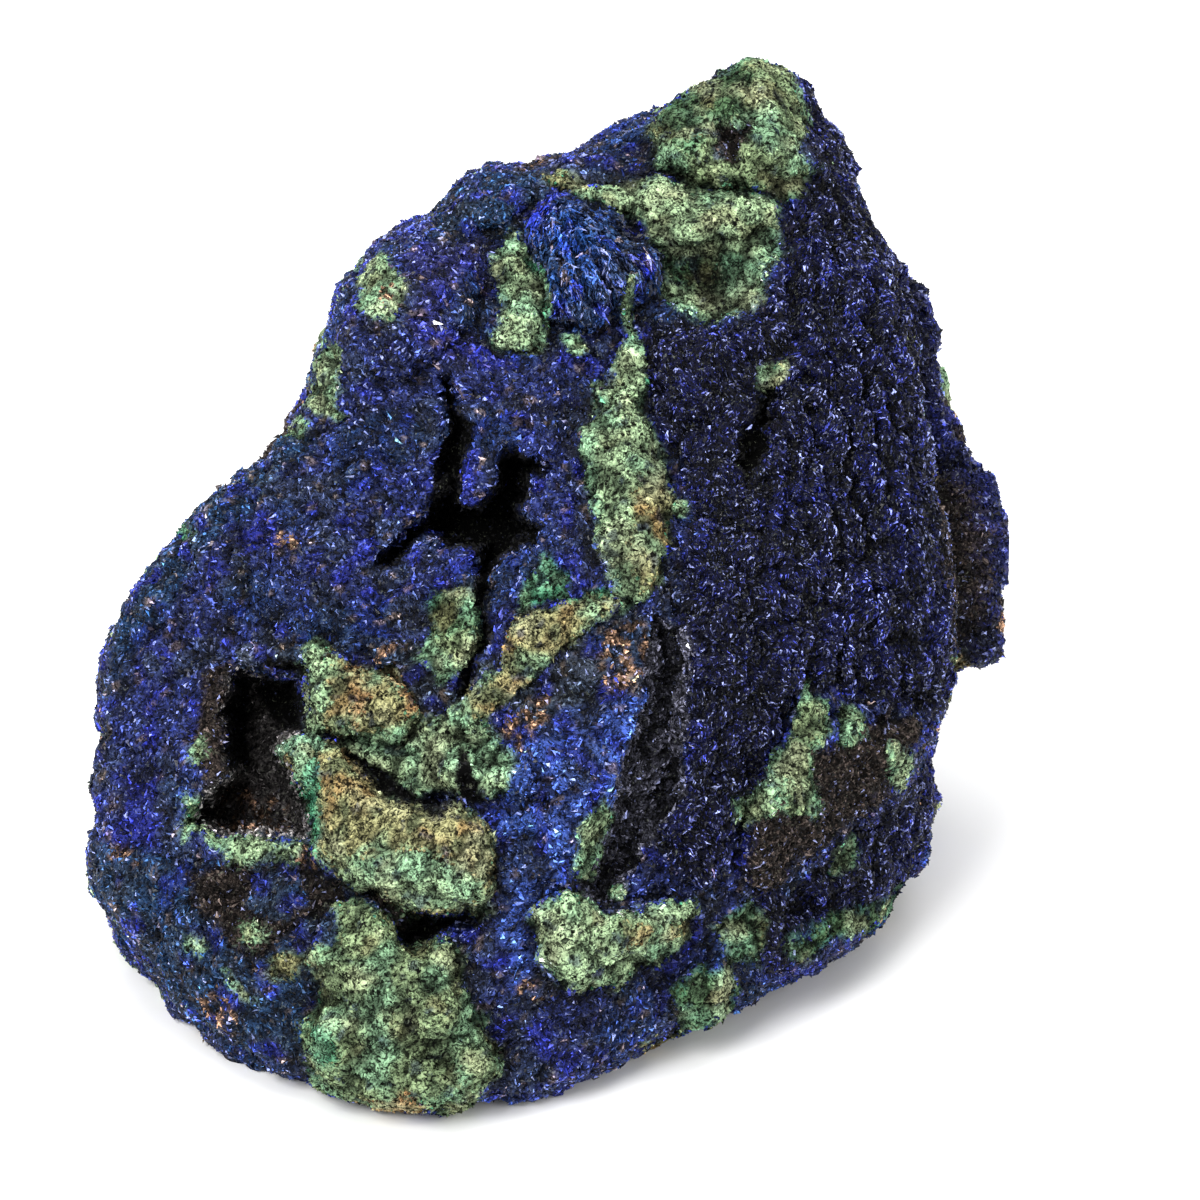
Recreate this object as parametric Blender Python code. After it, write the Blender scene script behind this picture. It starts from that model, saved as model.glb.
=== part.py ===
"""Azurite specimen: one lump of azurite with malachite grown on it, standing on a face cut flat.

The rock is one solid. It is shaped as a sphere whose points are pushed out from its heart, first to the
broken faces that bound it. Then the crown, ledges, lumps, hollows and ribs of its display face are raised
or sunk along the line of sight, and bumps are added all over. Lengths in the lists are millimetres; the
mesh is in metres, Z up, standing on Z = 0.
"""

import math

import bmesh
import bpy
import numpy as np
from mathutils import Vector, noise

MM = 0.001

# The display face leans back. Places on it are (across, up) in millimetres, as an eye sees them that looks
# square at it from SIGHT away; out is towards that eye.
FACE_TILT = math.radians(28.0)
SIGHT = 480.0
FACE_MIDDLE = (4.1, 6.7, 25.5)  # where (0, 0) of the face stands, in the rock's own frame
HEART = np.array((-3.6, -2.0, 0.0))  # across, up, out: the point that the surface is pushed away from

# What the eye sees of the rock's edge, clockwise from the tip of the crown.
OUTLINE = (
    (12.2, 43.4), (16.0, 41.0), (17.8, 38.4), (19.4, 35.4), (20.6, 32.0), (21.4, 29.4), (22.7, 28.2),
    (24.6, 27.0), (26.0, 24.8), (26.8, 20.8), (27.4, 16.4), (28.6, 13.8), (29.4, 11.2), (32.0, 9.6),
    (33.0, 5.8), (33.2, 3.2), (32.7, -0.8), (31.8, -4.4), (28.6, -5.4), (27.0, -8.0), (26.2, -10.0),
    (25.9, -12.8), (26.4, -17.2), (25.8, -20.0), (25.1, -23.2), (22.7, -25.6), (18.4, -28.0), (13.6, -30.4),
    (11.2, -33.2), (8.0, -35.2), (4.8, -36.6), (0.0, -37.6), (-5.8, -40.0), (-9.8, -41.2), (-14.0, -41.2),
    (-22.6, -41.0), (-28.5, -36.4), (-31.0, -34.0), (-34.2, -33.2), (-38.1, -28.0), (-40.8, -23.6),
    (-41.1, -20.8), (-39.8, -17.2), (-40.4, -14.4), (-39.8, -11.2), (-40.9, -4.8), (-38.5, -0.2),
    (-35.0, 2.8), (-31.5, 6.8), (-28.7, 9.2), (-23.9, 13.0), (-22.1, 16.4), (-21.9, 20.4), (-21.1, 24.8),
    (-17.7, 28.4), (-13.4, 30.6), (-11.0, 33.2), (-9.1, 34.4), (-6.4, 33.8), (-1.1, 35.6), (2.2, 38.0),
    (5.0, 39.2), (8.6, 41.6),
)
OUTLINE_MARGIN = 0.1  # what the bumps add to it
OUTLINE_BLUR = np.radians((-14.0, -7.0, 0.0, 7.0, 14.0))  # turns whose mean smooths the outline
SHARP_OUTLINE = 0.3  # how far to the front or back the outline keeps its small steps, as a sine
RIM_SQUARENESS = (2.6, 6.0)  # at the top and at the foot; 2 would round the edge like an ellipse
RIM_DEPTH = 44.0

# Broken faces: degrees turned to the right of the eye, degrees turned up, distance from the heart.
FACES = {
    "left front": (-22, 7, 24.0),
    "right flank": (27, 5, 28.0),
    "upper slope": (-7, 33, 27.5),
    "crown front": (6, 21, 26.5),
    "lower front": (-3, -15, 31.5),
    "lower left": (-40, -20, 38.5),
    "lower flank": (32, -17, 28.0),
    "right undercut": (67, -60, 36.0),
    "left side": (-78, 12, 38.5),
    "left shoulder": (-60, 48, 35.0),
    "back left": (-128, 14, 28.2),
    "back": (172, 22, 25.0),
    "back right": (126, -4, 33.0),
    "back top": (-165, 52, 35.5),
    "back low left": (-118, -30, 42.0),
}
EDGE_ROUNDING = 1.4

# The side that ends the flank, and the wall behind it, which stands out past it.
FLANK_SIDE = (84, 10, 31.6)
WALL_LOOKS_BACK = (0.04, 0.16)  # sines of the way back from the heart where the wall begins and is full
WALL_STEP = 14.0

# Forms of the display face: height of the form, width of its rounded shoulder, and its outline.
RAISED = {
    "crown": (4.2, 5.0, ((3.5, 36.8), (4.8, 39.0), (8.6, 41.9), (12.4, 45.0), (16.4, 42.0), (16.6, 37.6),
                         (16.9, 33.9), (13.8, 32.8), (9.5, 33.1), (5.2, 34.7))),
    "shelf": (2.8, 3.2, ((-4.4, 33.8), (0.0, 33.6), (5.2, 33.6), (10.7, 32.5), (13.9, 32.0), (14.1, 29.9),
                         (11.2, 28.8), (8.0, 28.8), (4.0, 28.0), (2.7, 30.4), (0.0, 31.5))),
    "azurite dome": (4.2, 5.0, ((-5.8, 28.6), (-5.4, 30.9), (-3.8, 32.6), (-1.9, 32.6), (0.2, 31.4),
                                (2.7, 30.1), (4.4, 28.0), (4.7, 25.2), (2.4, 23.2), (-0.8, 21.6),
                                (-4.4, 22.6))),
    "left dome": (3.0, 5.0, ((-22.4, 20.0), (-20.4, 24.0), (-17.6, 28.4), (-13.6, 29.9), (-9.6, 29.0),
                             (-9.0, 25.6), (-10.4, 21.6), (-15.2, 18.0), (-20.0, 18.0))),
    "lump behind the domes": (2.0, 3.0, ((-13.4, 30.8), (-12.3, 32.4), (-9.1, 35.0), (-6.4, 34.4),
                                         (-4.4, 34.6), (-5.6, 31.9), (-7.6, 30.2), (-11.0, 29.8))),
    "vein": (2.2, 3.0, ((1.8, 25.8), (2.4, 25.6), (2.4, 22.2), (3.6, 18.8), (3.0, 15.6), (5.0, 11.2),
                        (6.1, 8.0), (5.3, 4.0), (3.4, -0.5), (1.2, 0.0), (-0.6, 4.4), (-0.6, 8.8),
                        (-1.4, 12.8), (-0.2, 16.4), (1.4, 21.2))),
    "druse of the flank": (1.2, 2.0, ((4.4, 23.4), (8.7, 21.4), (16.0, 24.0), (17.6, 33.0), (19.0, 45.0),
                                      (40.0, 40.0), (36.0, -8.0), (21.0, -6.0), (16.4, -5.6), (12.0, -12.8),
                                      (11.2, -18.8), (8.0, -23.0), (4.6, -18.2), (7.0, -15.0), (7.4, -6.2),
                                      (5.8, -1.6), (6.4, 3.6), (7.2, 8.0), (4.4, 15.0), (4.8, 19.4))),
    "split block": (4.6, 3.2, ((-25.4, -12.6), (-24.0, -10.9), (-20.7, -11.3), (-18.6, -13.0),
                               (-14.6, -15.4), (-11.5, -16.2), (-8.5, -18.6), (-8.3, -23.0), (-10.3, -25.1),
                               (-15.2, -24.8), (-20.7, -22.0), (-22.9, -20.4), (-22.7, -17.6),
                               (-24.4, -14.6))),
    "upper block": (2.8, 2.8, ((-24.0, -4.0), (-22.4, -3.4), (-18.6, -5.2), (-15.8, -7.2), (-14.6, -9.8),
                               (-16.4, -11.4), (-19.8, -10.4), (-22.9, -10.4), (-23.7, -7.6))),
    "slanting ridge": (1.8, 2.2, ((-12.5, -9.8), (-10.3, -6.7), (-7.8, -5.2), (-7.4, -2.7), (-1.8, 0.3),
                                  (0.7, 0.6), (1.8, -0.6), (-3.3, -4.2), (-7.8, -8.2), (-11.2, -10.6))),
    "lower lumps": (3.2, 3.0, ((-21.4, -24.5), (-18.0, -23.5), (-16.2, -27.0), (-11.8, -27.0),
                               (-11.0, -31.2), (-10.0, -33.6), (-8.0, -37.9), (-11.0, -42.0),
                               (-20.2, -42.0), (-23.8, -40.1), (-23.8, -34.2), (-21.2, -32.0),
                               (-23.5, -29.0), (-22.9, -27.8))),
    "foot lump": (4.2, 2.4, ((-5.0, -24.6), (-2.8, -23.2), (0.2, -25.1), (4.8, -23.8), (7.7, -23.8),
                             (6.4, -25.6), (6.6, -27.4), (3.4, -29.0), (2.0, -30.6), (-2.4, -30.9),
                             (-4.9, -28.9))),
    "low right lump": (3.0, 2.2, ((5.9, -30.8), (8.0, -29.3), (9.4, -28.0), (11.4, -31.2), (10.6, -34.9),
                                  (6.7, -35.7))),
    "right patch": (2.6, 2.8, ((13.9, -12.2), (15.2, -9.2), (16.7, -6.3), (18.2, -9.2), (21.3, -10.4),
                               (24.6, -9.6), (26.4, -12.4), (21.4, -16.7), (16.9, -19.7), (14.3, -23.1),
                               (11.8, -23.1), (10.7, -20.8), (12.1, -16.9))),
    "green patch": (1.6, 1.8, ((-9.0, 27.7), (-7.8, 29.0), (-6.0, 28.2), (-4.0, 25.2), (-3.5, 23.4),
                               (-5.1, 20.0), (-8.2, 20.0), (-8.8, 21.5), (-8.2, 23.4))),
    "sill of the left hollow": (1.8, 1.4, ((-32.4, -18.6), (-28.0, -19.6), (-24.2, -19.0), (-23.4, -20.6),
                                           (-27.0, -21.8), (-31.6, -20.8))),
}
SUNK = {
    "central hollow": (8.5, 1.0, ((-17.0, 3.6), (-13.4, 6.8), (-11.7, 9.4), (-10.2, 7.4), (-8.8, 8.6),
                                  (-7.8, 9.9), (-6.6, 11.9), (-4.6, 10.2), (-5.4, 9.0), (-6.3, 6.8),
                                  (-4.6, 4.6), (-7.8, 4.1), (-8.3, 1.6), (-9.4, 1.0), (-9.1, 3.9),
                                  (-11.5, 3.9), (-15.5, 3.2))),
    "crack above it": (4.5, 0.8, ((-13.1, 18.6), (-12.2, 15.7), (-10.3, 14.2), (-11.0, 9.9), (-12.2, 8.2),
                                  (-12.9, 9.6), (-13.4, 15.4))),
    "crack below it": (3.5, 0.7, ((-9.2, 2.2), (-8.2, 2.0), (-8.4, 0.6), (-9.2, -1.1), (-8.9, -3.4),
                                  (-10.4, -7.4), (-11.2, -7.4), (-10.2, -3.2), (-10.3, -1.1))),
    "left hollow": (10.0, 1.2, ((-29.6, -6.4), (-28.1, -5.4), (-24.7, -6.6), (-23.3, -9.8), (-25.3, -11.6),
                                (-24.2, -15.0), (-23.2, -16.0), (-23.5, -18.6), (-30.2, -18.8),
                                (-32.6, -17.8), (-31.4, -15.6), (-29.3, -14.1), (-29.3, -11.9),
                                (-29.9, -8.8))),
    "slot under the block": (5.0, 0.8, ((-16.6, -26.2), (-14.9, -25.1), (-10.0, -25.2), (-10.8, -26.4),
                                        (-14.0, -27.2), (-16.0, -27.6))),
    "split in the block": (3.6, 0.7, ((-20.2, -11.6), (-17.2, -13.8), (-14.8, -15.8), (-12.8, -15.4),
                                      (-11.4, -16.2), (-14.8, -17.2), (-17.8, -15.4), (-20.8, -12.4))),
    "dark seam": (3.4, 1.2, ((4.3, -1.6), (6.4, -1.8), (7.0, -11.3), (6.8, -15.2), (4.7, -18.2),
                             (3.4, -21.6), (0.6, -24.4), (-1.6, -23.8), (-1.9, -22.6), (-0.2, -20.2),
                             (1.2, -15.6), (2.8, -10.7), (3.6, -7.6))),
    "pocket in the flank": (2.6, 1.6, ((11.0, 10.6), (13.0, 13.0), (13.4, 16.0), (13.0, 18.4), (15.4, 18.8),
                                       (16.2, 16.0), (16.0, 12.8), (14.2, 11.0), (11.6, 9.6))),
    "recess under the shelf": (2.2, 1.6, ((4.4, 26.6), (8.0, 28.2), (11.2, 28.0), (14.7, 28.4),
                                          (13.2, 26.6), (12.6, 24.0), (8.7, 22.0), (6.7, 22.9),
                                          (4.6, 24.3))),
    "groove under the crown": (1.8, 1.2, ((3.6, 34.6), (9.0, 33.6), (15.8, 33.2), (16.4, 31.6),
                                          (9.0, 32.2))),
    "pit in the crown": (1.8, 1.0, ((9.0, 36.0), (9.8, 37.8), (11.6, 38.4), (12.2, 37.0), (10.8, 35.2))),
    "step under the patch": (3.0, 2.0, ((14.3, -23.5), (16.9, -20.4), (21.4, -17.4), (25.0, -13.6),
                                        (28.0, -13.0), (30.0, -20.0), (24.4, -26.0), (16.0, -26.0))),
    "notch in the left edge": (1.6, 1.4, ((-22.8, 21.0), (-20.6, 20.0), (-19.6, 14.4), (-23.0, 12.0),
                                          (-27.0, 13.4), (-24.0, 17.0))),
}
# Round malachite lumps: across, up, radius.
NODULES = (
    (-11.8, -13.0, 1.7), (-9.2, -14.8, 1.6), (-6.8, -14.8, 1.6), (-9.2, -9.6, 1.5), (-2.0, 20.0, 1.2),
    (1.0, -23.2, 1.3), (6.8, 7.0, 0.8), (-27.6, -26.8, 1.3), (-16.8, -4.4, 1.3), (-6.2, -3.0, 1.2),
    (-18.6, -26.8, 1.7), (-21.6, -35.6, 1.8), (-14.0, -38.6, 1.9), (-9.6, -38.0, 1.8), (18.4, -8.0, 1.2),
    (20.6, -9.8, 1.3), (14.2, -16.0, 1.5), (-1.6, -16.8, 1.2), (-12.8, -33.2, 2.0), (2.6, -27.2, 1.7),
)
NODULE_HEIGHT = 0.75  # as a share of the radius

# The ribs of the flank follow its right edge, given here as (up, across).
FLANK_EDGE = ((38.0, 17.6), (30.4, 21.2), (26.3, 22.8), (21.4, 23.6), (15.4, 24.9), (10.0, 25.6),
              (4.9, 27.4), (-0.2, 27.7), (-7.8, 26.9), (-16.0, 25.6))
RIB_SPACING = 2.3
RIB_HEIGHT = 0.34
RIBBED_WIDTH = 13.0

EDGE_WANDER = ((4.5, 0.8), (1.9, 0.35))  # size and width of the wandering of the forms' outlines
WANDER_STARTS = (0.0, 170.0)  # where the noise for the moves across and up begins
ROUGHNESS = ((15.0, 1.3), (6.5, 0.6), (2.8, 0.3))  # size and height of the bumps all over
LUMP_SIZE = 7.5  # the rock is grown of rounded lumps that meet in creases
LUMP_HEIGHT = (0.9, 2.0)  # on the display face and on the back
LUMP_SINK = 0.25  # keeps the lumps' mean height near nothing
SPHERE_FINENESS = 7
TRIANGLE_SHARE = 0.115  # of the sphere's 81920 triangles, how many the finished rock keeps
BLOCK_SIZE = 0.2


def smooth_step(low, high, value):
    """0 below low, 1 above high, and an S-shaped rise between them."""
    t = np.clip((value - low) / (high - low), 0.0, 1.0)
    return t * t * (3.0 - 2.0 * t)


def dome(share):
    """A round shoulder: 0 at 0, steep at first, 1 and level from 1 on."""
    return np.sqrt(1.0 - (1.0 - np.clip(share, 0.0, 1.0)) ** 2)


def outline_reach(directions):
    """How far the outline lies from the heart, in the direction of each point in the face plane."""
    points = np.array(OUTLINE) - HEART[:2]
    angles = np.arctan2(points[:, 1], points[:, 0])
    order = np.argsort(angles)
    angles, radii = angles[order], np.hypot(*points.T)[order] - OUTLINE_MARGIN
    towards = np.arctan2(directions[:, 1], directions[:, 0])
    sharp = np.interp(towards, angles, radii, period=2.0 * math.pi)
    soft = np.mean([np.interp(towards + turn, angles, radii, period=2.0 * math.pi)
                    for turn in OUTLINE_BLUR], 0)
    return soft + (sharp - soft) * np.exp(-(directions[:, 2] / SHARP_OUTLINE) ** 2)


def rim_reach(directions):
    """Distance to the rounded form that has the rock's outline, as seen from the eye."""
    across = np.hypot(directions[:, 0], directions[:, 1])
    flat = across / outline_reach(directions) + directions[:, 2] / SIGHT
    deep = np.abs(directions[:, 2]) / RIM_DEPTH
    downward = smooth_step(0.1, 0.8, -directions[:, 1] / np.maximum(across, 1e-6))
    power = RIM_SQUARENESS[0] + (RIM_SQUARENESS[1] - RIM_SQUARENESS[0]) * downward
    return (np.maximum(flat, 0.0) ** power + deep**power) ** (-1.0 / power)


def facing(right, up):
    """The direction that a face turned this many degrees to the right and up looks in."""
    right, up = math.radians(right), math.radians(up)
    return np.array((math.sin(right) * math.cos(up), math.sin(up), math.cos(right) * math.cos(up)))


def face_reach(directions, right, up, distance):
    """Distance to a broken face."""
    return distance / np.maximum(directions @ facing(right, up), 0.05)


def bounded_reach(directions):
    """Distance to the nearest of the rim and the broken faces, with rounded edges between them."""
    reaches = [rim_reach(directions)]
    reaches += [face_reach(directions, *face) for face in FACES.values()]
    behind = smooth_step(*WALL_LOOKS_BACK, -directions[:, 2])
    reaches.append(face_reach(directions, *FLANK_SIDE) + WALL_STEP * behind)
    nearness = np.logaddexp.reduce([-reach / EDGE_ROUNDING for reach in reaches])
    return -nearness * EDGE_ROUNDING


def seen_from_the_front(points):
    """Where the eye sees points given as across, up and out."""
    return points[:, :2] * (SIGHT / (SIGHT - points[:, 2]))[:, None]


def wandering(places):
    """Moves places about a little, so that the forms' outlines wander as broken edges do."""
    moved = places.copy()
    for size, width in EDGE_WANDER:
        for axis, start in enumerate(WANDER_STARTS):
            moved[:, axis] += width * np.array([noise.noise(Vector((a + start, b, size)) / size)
                                                for a, b in places])
    return moved


def depth_inside(places, outline):
    """How far each place is inside a closed outline; negative outside it."""
    corners = np.array(outline)
    nearest = np.full(len(places), np.inf)
    within = np.zeros(len(places), bool)
    for a, b in zip(corners, np.roll(corners, -1, 0)):
        along = np.clip((places - a) @ (b - a) / ((b - a) @ (b - a)), 0.0, 1.0)
        nearest = np.minimum(nearest, np.hypot(*(places - a - along[:, None] * (b - a)).T))
        crosses = (a[1] > places[:, 1]) != (b[1] > places[:, 1])
        rise = b[1] - a[1] if b[1] != a[1] else 1.0
        within ^= crosses & (places[:, 0] < a[0] + (places[:, 1] - a[1]) / rise * (b[0] - a[0]))
    return np.where(within, nearest, -nearest)


def face_relief(places):
    """Height of the raised forms less the depth of the sunk ones."""
    relief = np.zeros(len(places))
    for height, shoulder, outline in RAISED.values():
        relief += height * dome(depth_inside(places, outline) / shoulder)
    for across, up, radius in NODULES:
        relief += NODULE_HEIGHT * radius * dome(1.0 - np.hypot(places[:, 0] - across, places[:, 1] - up) / radius)
    for depth, slope, outline in SUNK.values():
        relief -= depth * smooth_step(-0.3 * slope, 1.5 * slope, depth_inside(places, outline))
    return relief


def flank_ribs(places):
    """Ridges that run down the flank beside its right edge."""
    up, across = np.array(FLANK_EDGE[::-1]).T
    inward = np.interp(places[:, 1], up, across) - places[:, 0]
    strength = smooth_step(-1.0, 1.5, inward) * (1.0 - smooth_step(0.5 * RIBBED_WIDTH, RIBBED_WIDTH, inward))
    strength *= smooth_step(-12.0, -6.0, places[:, 1])
    return RIB_HEIGHT * strength * np.cos(2.0 * math.pi * inward / RIB_SPACING)


def roughness(points):
    """Bumps in several sizes, all over the rock."""
    bumps = np.zeros(len(points))
    for size, height in ROUGHNESS:
        bumps += height * np.array([noise.noise(Vector(p) / size) for p in points])
    return bumps


def lumps(points, to_the_front):
    """Rounded lumps that meet in creases, higher on the back than on the display face."""
    from_middle = np.array([noise.voronoi(Vector(p) / LUMP_SIZE)[0][0] for p in points])
    front, back = LUMP_HEIGHT
    height = back + (front - back) * smooth_step(-0.2, 0.3, to_the_front)
    return height * (LUMP_SINK - from_middle**2)


def rock_surface(directions):
    """Points of the rock's surface, as across, up and out, one for each direction from its heart."""
    reach = bounded_reach(directions)
    points = HEART + directions * reach[:, None]
    points += directions * (roughness(points) + lumps(points, directions[:, 2]))[:, None]
    places = seen_from_the_front(points)
    moved = wandering(places)
    relief = smooth_step(0.0, 0.12, directions[:, 2]) * (face_relief(moved) + flank_ribs(moved))
    to_the_eye = np.array((0.0, 0.0, SIGHT)) - points
    to_the_eye /= np.linalg.norm(to_the_eye, axis=1)[:, None]
    return points + to_the_eye * relief[:, None]


def stand_up(points):
    """Turns across, up and out into the rock's own frame, X right, Y back, Z up."""
    across, up, out = points.T
    sine, cosine = math.sin(FACE_TILT), math.cos(FACE_TILT)
    return np.stack((across, up * sine - out * cosine, up * cosine + out * sine), 1) + FACE_MIDDLE


def azurite_material():
    """Dull deep blue, for the solid."""
    material = bpy.data.materials.new("azurite")
    material.use_nodes = True
    shader = material.node_tree.nodes["Principled BSDF"]
    shader.inputs["Base Color"].default_value = (0.035, 0.055, 0.27, 1.0)
    shader.inputs["Roughness"].default_value = 0.6
    shader.inputs["Metallic"].default_value = 0.0
    return material


def make_rock(collection):
    """The rock as a pushed-out sphere with its triangles thinned."""
    sphere = bmesh.new()
    bmesh.ops.create_icosphere(sphere, subdivisions=SPHERE_FINENESS, radius=1.0)
    mesh = bpy.data.meshes.new("azurite_rock")
    sphere.to_mesh(mesh)
    sphere.free()
    directions = np.empty(len(mesh.vertices) * 3)
    mesh.vertices.foreach_get("co", directions)
    directions = directions.reshape(-1, 3)
    directions /= np.linalg.norm(directions, axis=1)[:, None]
    surface = stand_up(rock_surface(directions)) * MM
    mesh.vertices.foreach_set("co", surface.ravel())
    mesh.materials.append(azurite_material())
    rock = bpy.data.objects.new("azurite_rock", mesh)
    collection.objects.link(rock)
    thin = rock.modifiers.new("thin", "DECIMATE")
    thin.ratio = TRIANGLE_SHARE
    return rock


def make_ground_cutter(collection):
    """A block under Z = 0, which cuts the face that the rock stands on."""
    bpy.ops.mesh.primitive_cube_add(size=BLOCK_SIZE, location=(0.0, 0.0, -0.5 * BLOCK_SIZE))
    block = bpy.context.object
    block.name = "ground_cutter"
    block.hide_render = True
    block.display_type = "WIRE"
    for holder in list(block.users_collection):
        holder.objects.unlink(block)
    collection.objects.link(block)
    return block


def main():
    for old in list(bpy.data.objects):
        bpy.data.objects.remove(old)
    parts = bpy.data.collections.new("azurite specimen")
    cutters = bpy.data.collections.new("cutters")
    bpy.context.scene.collection.children.link(parts)
    bpy.context.scene.collection.children.link(cutters)
    rock = make_rock(parts)
    cut = rock.modifiers.new("flat base", "BOOLEAN")
    cut.operation = "DIFFERENCE"
    cut.object = make_ground_cutter(cutters)


main()
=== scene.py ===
# %% [markdown]
# # Azurite specimen
#
# This lesson dresses one rock: a hand-sized lump of azurite, deep blue, with crusts of green malachite and
# specks of rusty iron oxide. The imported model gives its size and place. Everything here is made of three
# things: a finely modelled rock, about 170,000 small crystals that stand on it, and node materials.

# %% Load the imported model
import math

import bpy
import numpy as np
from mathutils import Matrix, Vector, noise


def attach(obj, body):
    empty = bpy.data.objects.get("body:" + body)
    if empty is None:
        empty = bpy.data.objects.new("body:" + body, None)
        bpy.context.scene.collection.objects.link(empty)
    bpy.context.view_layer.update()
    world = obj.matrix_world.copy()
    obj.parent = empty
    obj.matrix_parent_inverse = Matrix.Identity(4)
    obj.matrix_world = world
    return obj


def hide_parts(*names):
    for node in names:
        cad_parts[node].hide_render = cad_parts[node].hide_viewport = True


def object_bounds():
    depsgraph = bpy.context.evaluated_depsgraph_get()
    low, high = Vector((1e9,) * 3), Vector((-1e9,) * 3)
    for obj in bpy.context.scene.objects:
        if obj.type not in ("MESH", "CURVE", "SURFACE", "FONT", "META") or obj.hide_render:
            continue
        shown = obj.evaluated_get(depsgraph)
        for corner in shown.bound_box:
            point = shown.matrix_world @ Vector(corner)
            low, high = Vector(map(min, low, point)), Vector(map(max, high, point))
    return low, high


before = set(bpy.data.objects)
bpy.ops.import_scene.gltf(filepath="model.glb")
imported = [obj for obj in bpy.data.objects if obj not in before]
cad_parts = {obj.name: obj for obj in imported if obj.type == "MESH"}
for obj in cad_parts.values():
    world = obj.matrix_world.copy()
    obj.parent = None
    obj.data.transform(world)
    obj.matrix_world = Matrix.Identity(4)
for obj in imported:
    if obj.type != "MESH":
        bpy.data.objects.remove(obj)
cad_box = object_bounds()
MM = 0.001
BOX_LOW, BOX_HIGH = (np.array(corner) / MM for corner in cad_box)
print("rock box in mm:", BOX_LOW.round(1), BOX_HIGH.round(1))

# %% [markdown]
# ## Directions on the rock
#
# The display face of the rock leans back by 28 degrees, and the photograph looks square at it. So shapes
# are described as an eye there sees them: across, up, and out towards the eye, all in millimetres. One
# function turns such places into the rock's own frame, where Z is up and the rock stands on Z = 0.

# %% The face frame
FACE_TILT = math.radians(28.0)
SIGHT = 480.0  # how far the eye is from the face
FACE_MIDDLE = (4.1, 6.7, 25.5)
HEART = np.array((-3.6, -2.0, 0.0))
SINE, COSINE = math.sin(FACE_TILT), math.cos(FACE_TILT)


def stand_up(points):
    """Turns across, up and out into the rock's own frame."""
    across, up, out = points.T
    return np.stack((across, up * SINE - out * COSINE, up * COSINE + out * SINE), 1) + FACE_MIDDLE


def lay_back(points):
    """Turns places in the rock's own frame into across, up and out."""
    across, back, high = (points - FACE_MIDDLE).T
    return np.stack((across, back * SINE + high * COSINE, high * SINE - back * COSINE), 1)


def seen_from_the_front(points):
    """Where the eye sees points given as across, up and out."""
    return points[:, :2] * (SIGHT / (SIGHT - points[:, 2]))[:, None]


print("the eye is at", stand_up(np.array([[0.0, 0.0, SIGHT]])).round(1))


# %% Small helpers
def smooth_step(low, high, value):
    """0 below low, 1 above high, and an S-shaped rise between them."""
    t = np.clip((value - low) / (high - low), 0.0, 1.0)
    return t * t * (3.0 - 2.0 * t)


def dome(share):
    """A round shoulder: 0 at 0, steep at first, 1 and level from 1 on."""
    return np.sqrt(1.0 - (1.0 - np.clip(share, 0.0, 1.0)) ** 2)


def unit(vectors):
    """Vectors of length 1."""
    return vectors / np.maximum(np.linalg.norm(vectors, axis=1), 1e-9)[:, None]


print("half way up an S-shaped rise:", smooth_step(0.0, 1.0, 0.5), "and up a shoulder:", dome(0.5).round(2))

# %% [markdown]
# ## Camera, floor and light
#
# The specimen stands on a white table, with one big soft light high on the left, a weaker one on the right,
# and no hard shadow. The camera sits where the eye is, 480 mm from the face, with a long lens, so the rock
# keeps its proportions. Big area lights give the crystals something soft to reflect.

# %% Camera
PICTURE_WIDTH = 96.0  # millimetres that the frame spans at the face
camera_data = bpy.data.cameras.new("camera")
camera_data.sensor_width = 36.0
camera_data.lens = camera_data.sensor_width * SIGHT / PICTURE_WIDTH
camera_data.clip_start = 0.01
camera = bpy.data.objects.new("camera", camera_data)
bpy.context.scene.collection.objects.link(camera)
camera.location = Vector(stand_up(np.array([[0.0, 0.0, SIGHT]]))[0]) * MM
camera.rotation_euler = (math.pi / 2 - FACE_TILT, 0.0, 0.0)
bpy.context.scene.camera = camera
bpy.context.scene.view_settings.view_transform = "Standard"
print("lens", camera_data.lens, "mm")

# %% Floor
FLOOR_SIZE = 6.0  # metres
PAPER_WHITE, PAPER_ROUGHNESS = 0.93, 0.9
bpy.ops.mesh.primitive_plane_add(size=FLOOR_SIZE, location=(0.0, 0.0, 0.0))
floor = bpy.context.object
floor.name = "floor"
paper = bpy.data.materials.new("white_paper")
paper.use_nodes = True
paper_shader = paper.node_tree.nodes["Principled BSDF"]
paper_shader.inputs["Base Color"].default_value = (PAPER_WHITE, PAPER_WHITE, PAPER_WHITE, 1.0)
paper_shader.inputs["Roughness"].default_value = PAPER_ROUGHNESS
floor.data.materials.append(paper)
print("a floor of", FLOOR_SIZE, "m")

# %% Soft light
SKY_STRENGTH = 0.68
AIM = Vector((0.0, 0.0, 0.03))
world = bpy.data.worlds.new("studio")
bpy.context.scene.world = world
world.use_nodes = True
world.node_tree.nodes["Background"].inputs["Color"].default_value = (1.0, 1.0, 1.0, 1.0)
world.node_tree.nodes["Background"].inputs["Strength"].default_value = SKY_STRENGTH

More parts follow.
